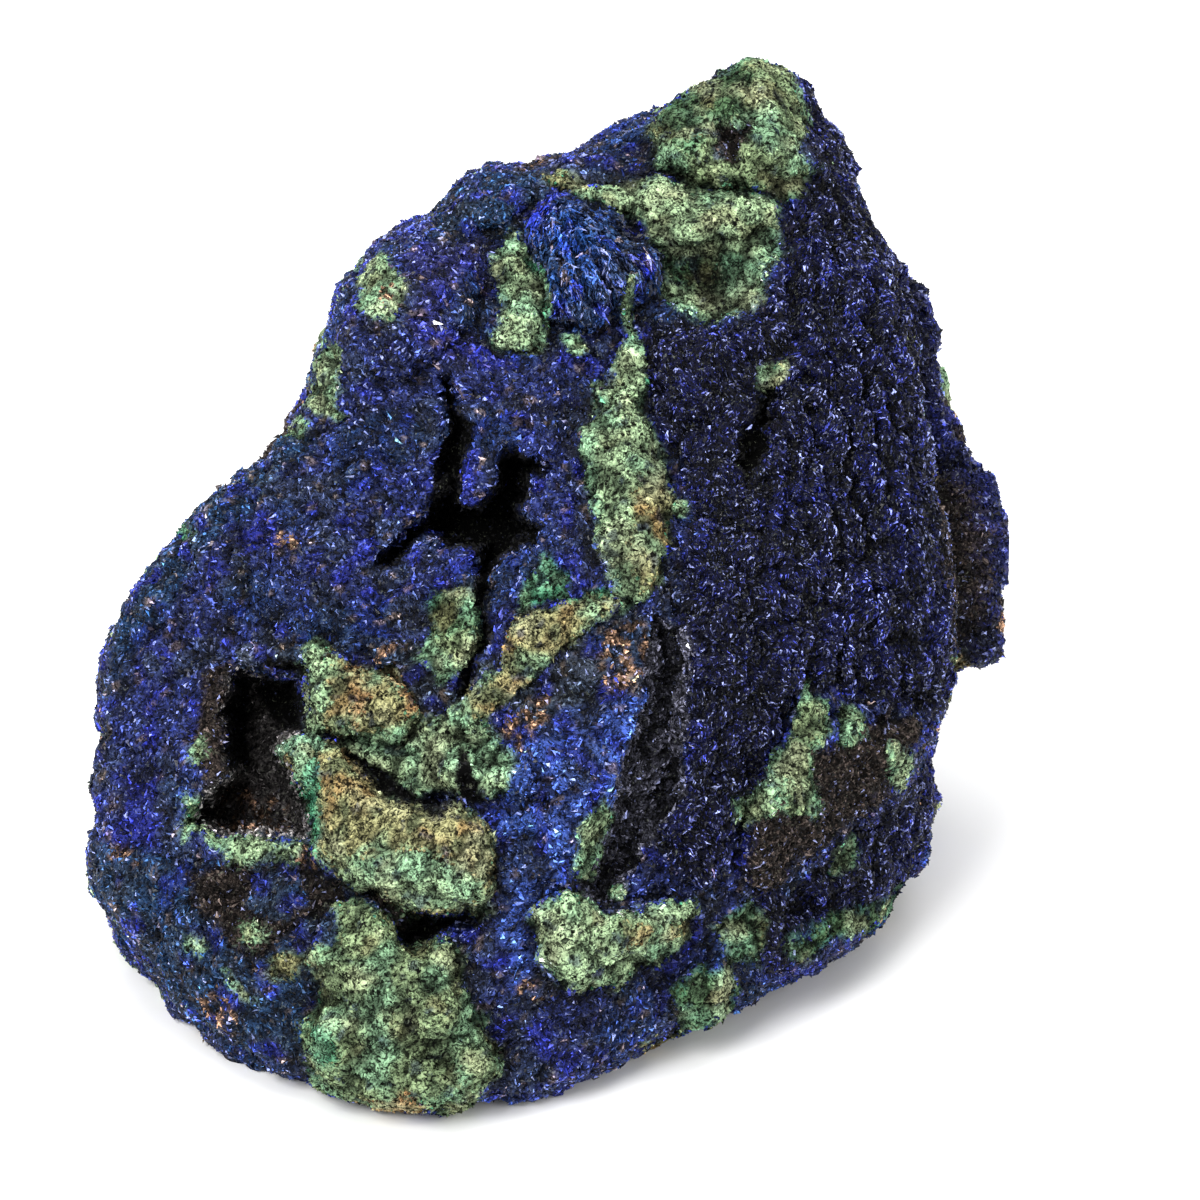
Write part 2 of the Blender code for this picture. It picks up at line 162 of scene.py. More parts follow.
# Name, place in metres, width and height in metres, power in watts.
SOFT_LIGHTS = (
    ("key_light", (-0.4, -0.65, 0.8), (0.5, 0.5), 11.5),
    ("fill_light", (0.75, -0.55, 0.5), (0.6, 0.6), 3.2),
    ("top_light", (0.0, 0.1, 1.0), (0.9, 0.8), 8.5),
)
for name, place, (width, height), power in SOFT_LIGHTS:
    lamp_data = bpy.data.lights.new(name, "AREA")
    lamp_data.shape = "RECTANGLE"
    lamp_data.size, lamp_data.size_y = width, height
    lamp_data.energy = power
    lamp = bpy.data.objects.new(name, lamp_data)
    bpy.context.scene.collection.objects.link(lamp)
    lamp.location = place
    lamp.rotation_euler = (AIM - Vector(place)).to_track_quat("-Z", "Y").to_euler()
print(len(SOFT_LIGHTS), "soft lights")

# %% [markdown]
# ## The broken lump
#
# The real rock is a broken piece of ore. Flat breaks bound it, and its outline steps in and out. It could
# be sculpted, but then nobody could change it. Here each point of a sphere is pushed out from the heart of
# the rock until it meets the outline's rim or the nearest broken face, whichever comes first. Adding the
# nearnesses as logarithms rounds the edges where two of them meet.

# %% Outline and broken faces
OUTLINE = (
    (12.2, 43.4), (16.0, 41.0), (17.8, 38.4), (19.4, 35.4), (20.6, 32.0), (21.4, 29.4), (22.7, 28.2),
    (24.6, 27.0), (26.0, 24.8), (26.8, 20.8), (27.4, 16.4), (28.6, 13.8), (29.4, 11.2), (32.0, 9.6),
    (33.0, 5.8), (33.2, 3.2), (32.7, -0.8), (31.8, -4.4), (28.6, -5.4), (27.0, -8.0), (26.2, -10.0),
    (25.9, -12.8), (26.4, -17.2), (25.8, -20.0), (25.1, -23.2), (22.7, -25.6), (18.4, -28.0), (13.6, -30.4),
    (11.2, -33.2), (8.0, -35.2), (4.8, -36.6), (0.0, -37.6), (-5.8, -40.0), (-9.8, -41.2), (-14.0, -41.2),
    (-22.6, -41.0), (-28.5, -36.4), (-31.0, -34.0), (-34.2, -33.2), (-38.1, -28.0), (-40.8, -23.6),
    (-41.1, -20.8), (-39.8, -17.2), (-40.4, -14.4), (-39.8, -11.2), (-40.9, -4.8), (-38.5, -0.2),
    (-35.0, 2.8), (-31.5, 6.8), (-28.7, 9.2), (-23.9, 13.0), (-22.1, 16.4), (-21.9, 20.4), (-21.1, 24.8),
    (-17.7, 28.4), (-13.4, 30.6), (-11.0, 33.2), (-9.1, 34.4), (-6.4, 33.8), (-1.1, 35.6), (2.2, 38.0),
    (5.0, 39.2), (8.6, 41.6),
)
# Degrees turned to the right of the eye, degrees turned up, distance from the heart.
FACES = {
    "left front": (-22, 7, 24.0),
    "right flank": (27, 5, 28.0),
    "upper slope": (-7, 33, 27.5),
    "crown front": (6, 21, 26.5),
    "lower front": (-3, -15, 31.5),
    "lower left": (-40, -20, 38.5),
    "lower flank": (32, -17, 28.0),
    "right undercut": (67, -60, 36.0),
    "left side": (-78, 12, 38.5),
    "left shoulder": (-60, 48, 35.0),
    "back left": (-128, 14, 28.2),
    "back": (172, 22, 25.0),
    "back right": (126, -4, 33.0),
    "back top": (-165, 52, 35.5),
    "back low left": (-118, -30, 42.0),
}
print(len(OUTLINE), "points of outline and", len(FACES) + 1, "broken faces")

# %% How far the rim reaches
OUTLINE_MARGIN = 0.1
OUTLINE_BLUR = np.radians((-14.0, -7.0, 0.0, 7.0, 14.0))
SHARP_OUTLINE = 0.3
RIM_SQUARENESS = (2.6, 6.0)  # the power of its curve, at the top and at the bottom
LOOKS_DOWN = (0.1, 0.8)  # how far down a direction points where the bottom begins and is full
RIM_DEPTH = 44.0


def outline_reach(directions):
    """How far the outline lies from the heart, in the direction of each point in the face plane."""
    points = np.array(OUTLINE) - HEART[:2]
    angles = np.arctan2(points[:, 1], points[:, 0])
    order = np.argsort(angles)
    angles, radii = angles[order], np.hypot(*points.T)[order] - OUTLINE_MARGIN
    towards = np.arctan2(directions[:, 1], directions[:, 0])
    sharp = np.interp(towards, angles, radii, period=2.0 * math.pi)
    soft = np.mean([np.interp(towards + turn, angles, radii, period=2.0 * math.pi)
                    for turn in OUTLINE_BLUR], 0)
    return soft + (sharp - soft) * np.exp(-(directions[:, 2] / SHARP_OUTLINE) ** 2)


def rim_reach(directions):
    """Distance to the rounded form that has the rock's outline, as seen from the eye."""
    across = np.hypot(directions[:, 0], directions[:, 1])
    flat = across / outline_reach(directions) + directions[:, 2] / SIGHT
    deep = np.abs(directions[:, 2]) / RIM_DEPTH
    downward = smooth_step(*LOOKS_DOWN, -directions[:, 1] / np.maximum(across, 1e-6))
    power = RIM_SQUARENESS[0] + (RIM_SQUARENESS[1] - RIM_SQUARENESS[0]) * downward
    return (np.maximum(flat, 0.0) ** power + deep**power) ** (-1.0 / power)


print("rim to the right:", rim_reach(np.array(((1.0, 0.0, 0.0),))).round(1), "mm from the heart")

# %% How far the broken faces reach
GRAZING = 0.05  # a direction that hardly meets a face, or never, counts as this much towards it
EDGE_ROUNDING = 1.4
FLANK_SIDE = (84, 10, 31.6)  # the last broken face: behind the wall it steps out
WALL_LOOKS_BACK = (0.04, 0.16)  # how far back a direction points where the step begins and is full
WALL_STEP = 14.0


def facing(right, up):
    """The direction that a face turned this many degrees to the right and up looks in."""
    right, up = math.radians(right), math.radians(up)
    return np.array((math.sin(right) * math.cos(up), math.sin(up), math.cos(right) * math.cos(up)))


def face_reach(directions, right, up, distance):
    """Distance to a broken face."""
    return distance / np.maximum(directions @ facing(right, up), GRAZING)


def bounded_reach(directions):
    """Distance to the nearest of the rim and the broken faces, with rounded edges between them."""
    reaches = [rim_reach(directions)]
    reaches += [face_reach(directions, *face) for face in FACES.values()]
    behind = smooth_step(*WALL_LOOKS_BACK, -directions[:, 2])
    reaches.append(face_reach(directions, *FLANK_SIDE) + WALL_STEP * behind)
    nearness = np.logaddexp.reduce([-reach / EDGE_ROUNDING for reach in reaches])
    return -nearness * EDGE_ROUNDING


print("reach towards the eye:", bounded_reach(np.array(((0.0, 0.0, 1.0),))).round(1), "mm")

# %% [markdown]
# ## Crown, ledges, lumps and hollows
#
# On the display face, malachite grew in a crown, ledges and lumps, and the azurite between them has hollows
# where a softer mineral was washed out. Each form is an outline with a height and the width of its rounded
# shoulder. It is raised along the line of sight, so that its edge stays where the eye sees it. Real edges
# wander, so places are first moved about a little by noise.

# %% Raised forms
# Height, width of the shoulder, outline.
RAISED = {
    "crown": (4.2, 5.0, ((3.5, 36.8), (4.8, 39.0), (8.6, 41.9), (12.4, 45.0), (16.4, 42.0), (16.6, 37.6),
        (16.9, 33.9), (13.8, 32.8), (9.5, 33.1), (5.2, 34.7))),
    "shelf": (2.8, 3.2, ((-4.4, 33.8), (0.0, 33.6), (5.2, 33.6), (10.7, 32.5), (13.9, 32.0), (14.1, 29.9),
        (11.2, 28.8), (8.0, 28.8), (4.0, 28.0), (2.7, 30.4), (0.0, 31.5))),
    "azurite dome": (4.2, 5.0, ((-5.8, 28.6), (-5.4, 30.9), (-3.8, 32.6), (-1.9, 32.6), (0.2, 31.4),
        (2.7, 30.1), (4.4, 28.0), (4.7, 25.2), (2.4, 23.2), (-0.8, 21.6), (-4.4, 22.6))),
    "left dome": (3.0, 5.0, ((-22.4, 20.0), (-20.4, 24.0), (-17.6, 28.4), (-13.6, 29.9), (-9.6, 29.0),
        (-9.0, 25.6), (-10.4, 21.6), (-15.2, 18.0), (-20.0, 18.0))),
    "lump behind the domes": (2.0, 3.0, ((-13.4, 30.8), (-12.3, 32.4), (-9.1, 35.0), (-6.4, 34.4),
        (-4.4, 34.6), (-5.6, 31.9), (-7.6, 30.2), (-11.0, 29.8))),
    "vein": (2.2, 3.0, ((1.8, 25.8), (2.4, 25.6), (2.4, 22.2), (3.6, 18.8), (3.0, 15.6), (5.0, 11.2),
        (6.1, 8.0), (5.3, 4.0), (3.4, -0.5), (1.2, 0.0), (-0.6, 4.4), (-0.6, 8.8), (-1.4, 12.8),
        (-0.2, 16.4), (1.4, 21.2))),
    "druse of the flank": (1.2, 2.0, ((4.4, 23.4), (8.7, 21.4), (16.0, 24.0), (17.6, 33.0), (19.0, 45.0),
        (40.0, 40.0), (36.0, -8.0), (21.0, -6.0), (16.4, -5.6), (12.0, -12.8), (11.2, -18.8), (8.0, -23.0),
        (4.6, -18.2), (7.0, -15.0), (7.4, -6.2), (5.8, -1.6), (6.4, 3.6), (7.2, 8.0), (4.4, 15.0),
        (4.8, 19.4))),
    "split block": (4.6, 3.2, ((-25.4, -12.6), (-24.0, -10.9), (-20.7, -11.3), (-18.6, -13.0),
        (-14.6, -15.4), (-11.5, -16.2), (-8.5, -18.6), (-8.3, -23.0), (-10.3, -25.1), (-15.2, -24.8),
        (-20.7, -22.0), (-22.9, -20.4), (-22.7, -17.6), (-24.4, -14.6))),
    "upper block": (2.8, 2.8, ((-24.0, -4.0), (-22.4, -3.4), (-18.6, -5.2), (-15.8, -7.2), (-14.6, -9.8),
        (-16.4, -11.4), (-19.8, -10.4), (-22.9, -10.4), (-23.7, -7.6))),
    "slanting ridge": (1.8, 2.2, ((-12.5, -9.8), (-10.3, -6.7), (-7.8, -5.2), (-7.4, -2.7), (-1.8, 0.3),
        (0.7, 0.6), (1.8, -0.6), (-3.3, -4.2), (-7.8, -8.2), (-11.2, -10.6))),
    "lower lumps": (3.2, 3.0, ((-21.4, -24.5), (-18.0, -23.5), (-16.2, -27.0), (-11.8, -27.0),
        (-11.0, -31.2), (-10.0, -33.6), (-8.0, -37.9), (-11.0, -42.0), (-20.2, -42.0), (-23.8, -40.1),
        (-23.8, -34.2), (-21.2, -32.0), (-23.5, -29.0), (-22.9, -27.8))),
    "foot lump": (4.2, 2.4, ((-5.0, -24.6), (-2.8, -23.2), (0.2, -25.1), (4.8, -23.8), (7.7, -23.8),
        (6.4, -25.6), (6.6, -27.4), (3.4, -29.0), (2.0, -30.6), (-2.4, -30.9), (-4.9, -28.9))),
    "low right lump": (3.0, 2.2, ((5.9, -30.8), (8.0, -29.3), (9.4, -28.0), (11.4, -31.2), (10.6, -34.9),
        (6.7, -35.7))),
    "right patch": (2.6, 2.8, ((13.9, -12.2), (15.2, -9.2), (16.7, -6.3), (18.2, -9.2), (21.3, -10.4),
        (24.6, -9.6), (26.4, -12.4), (21.4, -16.7), (16.9, -19.7), (14.3, -23.1), (11.8, -23.1),
        (10.7, -20.8), (12.1, -16.9))),
    "green patch": (1.6, 1.8, ((-9.0, 27.7), (-7.8, 29.0), (-6.0, 28.2), (-4.0, 25.2), (-3.5, 23.4),
        (-5.1, 20.0), (-8.2, 20.0), (-8.8, 21.5), (-8.2, 23.4))),
    "arch over the left hollow": (1.0, 0.8, ((-29.3, -4.0), (-27.0, -3.3), (-24.2, -3.9), (-22.9, -5.8),
        (-23.2, -7.0), (-24.6, -6.8), (-27.0, -6.4), (-28.6, -5.6))),
    "knob beside the left hollow": (1.0, 0.8, ((-25.7, -11.8), (-24.0, -10.7), (-22.0, -10.9),
        (-22.2, -12.2), (-24.2, -12.8))),
    "sill of the left hollow": (1.8, 1.4, ((-32.4, -18.6), (-28.0, -19.6), (-24.2, -19.0), (-23.4, -20.6),
        (-27.0, -21.8), (-31.6, -20.8))),
}
# Round malachite lumps: across, up, radius.
NODULES = (
    (-11.8, -13.0, 1.7), (-9.2, -14.8, 1.6), (-6.8, -14.8, 1.6), (-9.2, -9.6, 1.5), (-2.0, 20.0, 1.2),
    (1.0, -23.2, 1.3), (6.8, 7.0, 0.8), (-27.6, -26.8, 1.3), (-16.8, -4.4, 1.3), (-6.2, -3.0, 1.2),
    (-18.6, -26.8, 1.7), (-21.6, -35.6, 1.8), (-14.0, -38.6, 1.9), (-9.6, -38.0, 1.8), (18.4, -8.0, 1.2),
    (20.6, -9.8, 1.3), (14.2, -16.0, 1.5), (-1.6, -16.8, 1.2), (-12.8, -33.2, 2.0), (2.6, -27.2, 1.7),
)
print(len(RAISED) + len(NODULES), "raised forms")

# %% Sunk forms
# Depth, width of the slope, outline.
SUNK = {
    "central hollow": (8.5, 0.8, ((-17.4, 3.6), (-15.6, 5.4), (-13.9, 7.2), (-12.9, 8.4), (-11.8, 9.3),
        (-11.3, 9.6), (-11.4, 8.2), (-10.7, 7.8), (-9.6, 8.2), (-8.8, 9.0), (-8.0, 9.4), (-8.0, 10.8),
        (-6.4, 12.1), (-4.4, 10.6), (-5.6, 9.3), (-5.3, 8.0), (-6.2, 7.0), (-4.8, 5.6), (-5.1, 4.7),
        (-6.6, 4.2), (-8.5, 2.0), (-9.4, 2.0), (-9.6, 4.4), (-11.0, 4.8), (-12.3, 4.2), (-13.9, 4.9),
        (-15.2, 4.0), (-16.4, 3.2))),
    "crack above it": (4.5, 0.7, ((-12.6, 17.8), (-11.8, 17.6), (-11.7, 15.0), (-10.4, 14.4), (-10.4, 11.8),
        (-11.2, 9.6), (-13.1, 9.4), (-12.6, 12.0))),
    "crack below it": (3.5, 0.7, ((-9.2, 2.2), (-8.2, 2.0), (-8.4, 0.6), (-9.2, -1.1), (-8.9, -3.4),
        (-10.4, -7.4), (-11.2, -7.4), (-10.2, -3.2), (-10.3, -1.1))),
    "left hollow": (10.0, 1.2, ((-29.6, -6.4), (-28.1, -5.4), (-24.7, -6.6), (-23.3, -9.8), (-25.3, -11.6),
        (-24.2, -15.0), (-23.2, -16.0), (-23.5, -18.6), (-30.2, -18.8), (-32.6, -17.8), (-31.4, -15.6),
        (-29.3, -14.1), (-29.3, -11.9), (-29.9, -8.8))),
    "slot under the block": (5.0, 0.8, ((-16.6, -26.2), (-14.9, -25.1), (-10.0, -25.2), (-10.8, -26.4),
        (-14.0, -27.2), (-16.0, -27.6))),
    "split in the block": (3.6, 0.7, ((-20.2, -11.6), (-17.2, -13.8), (-14.8, -15.8), (-12.8, -15.4),
        (-11.4, -16.2), (-14.8, -17.2), (-17.8, -15.4), (-20.8, -12.4))),
    "dark seam": (3.4, 1.2, ((4.3, -1.6), (6.4, -1.8), (7.0, -11.3), (6.8, -15.2), (4.7, -18.2),
        (3.4, -21.6), (0.6, -24.4), (-1.6, -23.8), (-1.9, -22.6), (-0.2, -20.2), (1.2, -15.6), (2.8, -10.7),
        (3.6, -7.6))),
    "pocket in the flank": (2.6, 1.0, ((12.4, 17.0), (13.6, 17.2), (14.8, 14.4), (13.4, 13.6), (13.4, 11.4),
        (11.6, 10.0), (10.4, 10.6), (11.0, 12.6), (12.2, 14.0))),
    "small hole over the left hollow": (3.0, 0.5, ((-26.5, -4.8), (-25.0, -4.7), (-23.4, -5.8),
        (-23.5, -6.6), (-25.0, -6.1), (-26.4, -5.6))),
    "recess under the shelf": (1.2, 1.6, ((4.4, 26.6), (8.0, 28.2), (11.2, 28.0), (14.7, 28.4),
        (13.2, 26.6), (12.6, 24.0), (8.7, 22.0), (6.7, 22.9), (4.6, 24.3))),
    "groove under the crown": (1.1, 1.0, ((3.6, 34.6), (7.6, 33.9), (11.2, 33.3), (10.6, 32.3),
        (7.0, 32.8))),
    "pit in the crown": (1.8, 1.0, ((9.0, 36.0), (9.8, 37.8), (11.6, 38.4), (12.2, 37.0), (10.8, 35.2))),
    "step under the patch": (3.0, 2.0, ((14.3, -23.5), (16.9, -20.4), (21.4, -17.4), (25.0, -13.6),
        (28.0, -13.0), (30.0, -20.0), (24.4, -26.0), (16.0, -26.0))),
    "notch in the left edge": (1.6, 1.4, ((-22.8, 21.0), (-20.6, 20.0), (-19.6, 14.4), (-23.0, 12.0),
        (-27.0, 13.4), (-24.0, 17.0))),
}
print(len(SUNK), "sunk forms")

# %% Noise that bends edges
EDGE_WANDER = ((4.5, 0.8), (1.9, 0.35))  # size and width of the waves
WANDER_STARTS = (0.0, 170.0)
WAY_STARTS = (0.0, 60.0, 120.0)


def noise_at(points, size):
    """Smooth noise from -1 to 1 whose waves are about size long."""
    return np.array([noise.noise(Vector(p) / size) for p in points])


def noise_on_face(places, size, level, start=0.0):
    """The same noise at flat places; level and start pick the part of it."""
    return noise_at(np.column_stack((places[:, 0] + start, places[:, 1], np.full(len(places), level))), size)


def noise_ways(points, size):
    """A vector of three noises at each point."""
    return np.stack([noise_at(points + start, size) for start in WAY_STARTS], 1)


def cells_at(points, size):
    """Distances to the middles of the nearest and the next lump, where lumps are about size apart."""
    return np.array([noise.voronoi(Vector(p) / size)[0][:2] for p in points]).T


def wandering(places):
    """Moves places about a little, so that the forms' outlines wander as broken edges do."""
    moved = places.copy()
    for size, width in EDGE_WANDER:
        for axis, start in enumerate(WANDER_STARTS):
            moved[:, axis] += width * noise_on_face(places, size, size, start)
    return moved


print("edges wander by up to", sum(width for _, width in EDGE_WANDER), "mm")

# %% Height at a place
NODULE_HEIGHT = 0.75
SUNK_SLOPE = (-0.7, 1.0)  # a wall starts outside the outline and ends inside it, in widths of the slope


def depth_inside(places, outline):
    """How far each place is inside a closed outline; negative outside it."""
    corners = np.array(outline)
    nearest = np.full(len(places), np.inf)
    within = np.zeros(len(places), bool)
    for a, b in zip(corners, np.roll(corners, -1, 0)):
        along = np.clip((places - a) @ (b - a) / ((b - a) @ (b - a)), 0.0, 1.0)
        nearest = np.minimum(nearest, np.hypot(*(places - a - along[:, None] * (b - a)).T))
        crosses = (a[1] > places[:, 1]) != (b[1] > places[:, 1])
        rise = b[1] - a[1] if b[1] != a[1] else 1.0
        within ^= crosses & (places[:, 0] < a[0] + (places[:, 1] - a[1]) / rise * (b[0] - a[0]))
    return np.where(within, nearest, -nearest)


def face_relief(places):
    """Height of the raised forms less the depth of the sunk ones."""
    relief = np.zeros(len(places))
    for height, shoulder, outline in RAISED.values():
        relief += height * dome(depth_inside(places, outline) / shoulder)
    for across, up, radius in NODULES:
        off_centre = np.hypot(places[:, 0] - across, places[:, 1] - up)
        relief += NODULE_HEIGHT * radius * dome(1.0 - off_centre / radius)
    for depth, slope, outline in SUNK.values():
        relief -= depth * smooth_step(*SUNK_SLOPE, depth_inside(places, outline) / slope)
    return relief


print("relief at the middle of the face:", face_relief(np.zeros((1, 2))).round(1), "mm")

# %% Ribs, bumps and lumps
FLANK_EDGE = ((38.0, 17.6), (30.4, 21.2), (26.3, 22.8), (21.4, 23.6), (15.4, 24.9), (10.0, 25.6),
              (4.9, 27.4), (-0.2, 27.7), (-7.8, 26.9), (-16.0, 25.6))
RIB_SPACING = 2.3
RIB_HEIGHT = 0.34
RIBBED_WIDTH = 13.0
RIBS_START, RIBS_END = (-1.0, 1.5), (-12.0, -6.0)  # inward from the edge, and up the face
LUMPS_GROW = (-0.2, 0.3)  # how far to the front the lumps turn from high to low
ROUGHNESS = ((15.0, 1.3), (6.5, 0.6), (2.8, 0.3))
LUMP_SIZE = 7.5
LUMP_HEIGHT = (0.9, 2.0)
LUMP_SINK = 0.25


def flank_ribs(places):
    """Ridges that run down the flank beside its right edge."""
    up, across = np.array(FLANK_EDGE[::-1]).T
    inward = np.interp(places[:, 1], up, across) - places[:, 0]
    fading = smooth_step(0.5 * RIBBED_WIDTH, RIBBED_WIDTH, inward)
    strength = smooth_step(*RIBS_START, inward) * (1.0 - fading) * smooth_step(*RIBS_END, places[:, 1])
    return RIB_HEIGHT * strength * np.cos(2.0 * math.pi * inward / RIB_SPACING)


def roughness(points):
    """Bumps in several sizes, all over the rock."""
    return sum(height * noise_at(points, size) for size, height in ROUGHNESS)


def lumps(points, to_the_front):
    """Rounded lumps that meet in creases, higher on the back than on the display face."""
    front, back = LUMP_HEIGHT
    height = back + (front - back) * smooth_step(*LUMPS_GROW, to_the_front)
    return height * (LUMP_SINK - cells_at(points, LUMP_SIZE)[0] ** 2)


print("ribs every", RIB_SPACING, "mm and lumps every", LUMP_SIZE, "mm")

# %% The rock's surface
RELIEF_ENDS = (0.0, 0.12)  # how far to the front the relief begins and is full


def rock_surface(directions):
    """Points of the rock's surface, as across, up and out, one for each direction from its heart."""
    reach = bounded_reach(directions)
    points = HEART + directions * reach[:, None]
    points += directions * (roughness(points) + lumps(points, directions[:, 2]))[:, None]
    places = seen_from_the_front(points)
    moved = wandering(places)
    relief = smooth_step(*RELIEF_ENDS, directions[:, 2]) * (face_relief(moved) + flank_ribs(moved))
    to_the_eye = unit(np.array((0.0, 0.0, SIGHT)) - points)
    return points + to_the_eye * relief[:, None]


print("heart and the point in front of it:", HEART, rock_surface(np.array(((0.0, 0.0, 1.0),))).round(1))

# %% [markdown]
# ## The rock's mesh
#
# The sphere that gets pushed out is a cube whose six sides are grids, blown up to a ball: its squares are
# nearly even, and it has no poles. It is then shifted towards the eye, which makes the squares of the
# display face smaller than those behind. What would reach under the ground is drawn back along its ray
# onto Z = 0, which gives the rock its flat base.

# %% A ball of grids
GRID_CELLS = 128
FRONT_SHARE = 0.3  # how far the grid is drawn to the eye; 0 spreads it evenly


def cube_grid(cells):
    """Points of six square grids that close into a cube, and the quads between them."""
    steps = np.tan(np.linspace(-1.0, 1.0, cells + 1) * math.pi / 4.0)
    a, b = np.meshgrid(steps, steps, indexing="ij")
    one = np.ones_like(a)
    sides = ((one, a, b), (-one, b, a), (b, one, a), (a, -one, b), (a, b, one), (b, a, -one))
    points = np.concatenate([np.stack(side, -1).reshape(-1, 3) for side in sides])
    corner = np.arange((cells + 1) ** 2).reshape(cells + 1, cells + 1)
    quads = np.stack((corner[:-1, :-1], corner[1:, :-1], corner[1:, 1:], corner[:-1, 1:]), -1)
    quads = quads.reshape(-1, 4)
    quads = np.concatenate([quads + side * corner.size for side in range(6)])
    single, where = np.unique(points.round(6), axis=0, return_inverse=True)
    return single, where.ravel()[quads]


directions, rock_quads = cube_grid(GRID_CELLS)
directions = unit(directions)
directions[:, 2] += FRONT_SHARE
directions = unit(directions)
print(len(directions), "directions from the heart")


# %% Ball to rock
def onto_the_ground(points):
    """Draws what is under the ground back towards the heart, onto Z = 0."""
    heart = stand_up(HEART[None])[0]
    share = np.where(points[:, 2] < 0.0, heart[2] / (heart[2] - points[:, 2]), 1.0)
    return heart + (points - heart) * share[:, None]


def new_mesh(name, points, faces):
    """A mesh of points in millimetres."""
    mesh = bpy.data.meshes.new(name)
    mesh.from_pydata((points * MM).tolist(), [], faces.tolist())
    mesh.update()
    return mesh


def vertex_normals(mesh):
    """The mesh's normal at each vertex."""
    normals = np.empty(len(mesh.vertices) * 3)
    mesh.vertices.foreach_get("normal", normals)
    return normals.reshape(-1, 3)


rock_points = onto_the_ground(stand_up(rock_surface(directions)))
rock_mesh = new_mesh("rock", rock_points, rock_quads)
print(len(rock_points), "points,", 2 * len(rock_quads), "triangles")

# %% [markdown]
# ## Where each mineral lies
#
# Azurite is copper carbonate with a deep blue colour; with time it turns into green malachite, and iron
# ore leaves rust and tan. Their patches are outlines on the face, like paper cut-outs, laid one on the
# other with soft or crisp edges, and noise frays the edges. A painted image would be quicker, but it would
# stay on one side. The back isn't in the photograph, so noise alone spreads the same minerals there, in
# about the shares of the front.

# %% Colours
def paint(red, green, blue):
    """A colour of everyday 0 to 255 values, as the linear values that light is worked out with."""
    value = np.array((red, green, blue)) / 255.0
    return np.where(value <= 0.04045, value / 12.92, ((value + 0.055) / 1.055) ** 2.4)


PALETTE = {
    "royal": paint(54, 67, 138), "indigo": paint(30, 34, 84), "violet": paint(62, 66, 146),
    "teal": paint(42, 74, 116), "cobalt": paint(40, 68, 126), "vivid": paint(84, 118, 226),
    "slate": paint(74, 84, 104), "rust": paint(172, 136, 110), "brown": paint(58, 50, 46),
    "seam": paint(84, 84, 98), "black": paint(6, 6, 8), "blackbrown": paint(160, 154, 154),
    "sage": paint(142, 166, 128), "fern": paint(118, 136, 100), "moss": paint(66, 90, 62),
    "olive": paint(138, 136, 96), "emerald": paint(74, 142, 108), "mint": paint(150, 182, 152),
    "tan": paint(170, 136, 96),
}
# What each colour is: malachite, earth, a hollow, where black is painted shade, the flank's druse, or
# malachite that grew flat.
KINDS = (("sage", "fern", "moss", "olive", "emerald", "mint", "tan"), ("rust", "brown", "seam"),
         ("black", "blackbrown"), ("indigo",), ("olive", "tan"))
GREEN, EARTH, HOLLOW, FLANK, FLAT = range(3, 8)
GREEN_NAMES, EARTH_NAMES, HOLLOW_NAMES = KINDS[:3]
print(len(PALETTE), "colours:", len(GREEN_NAMES), "greens and", len(EARTH_NAMES), "earths among them")

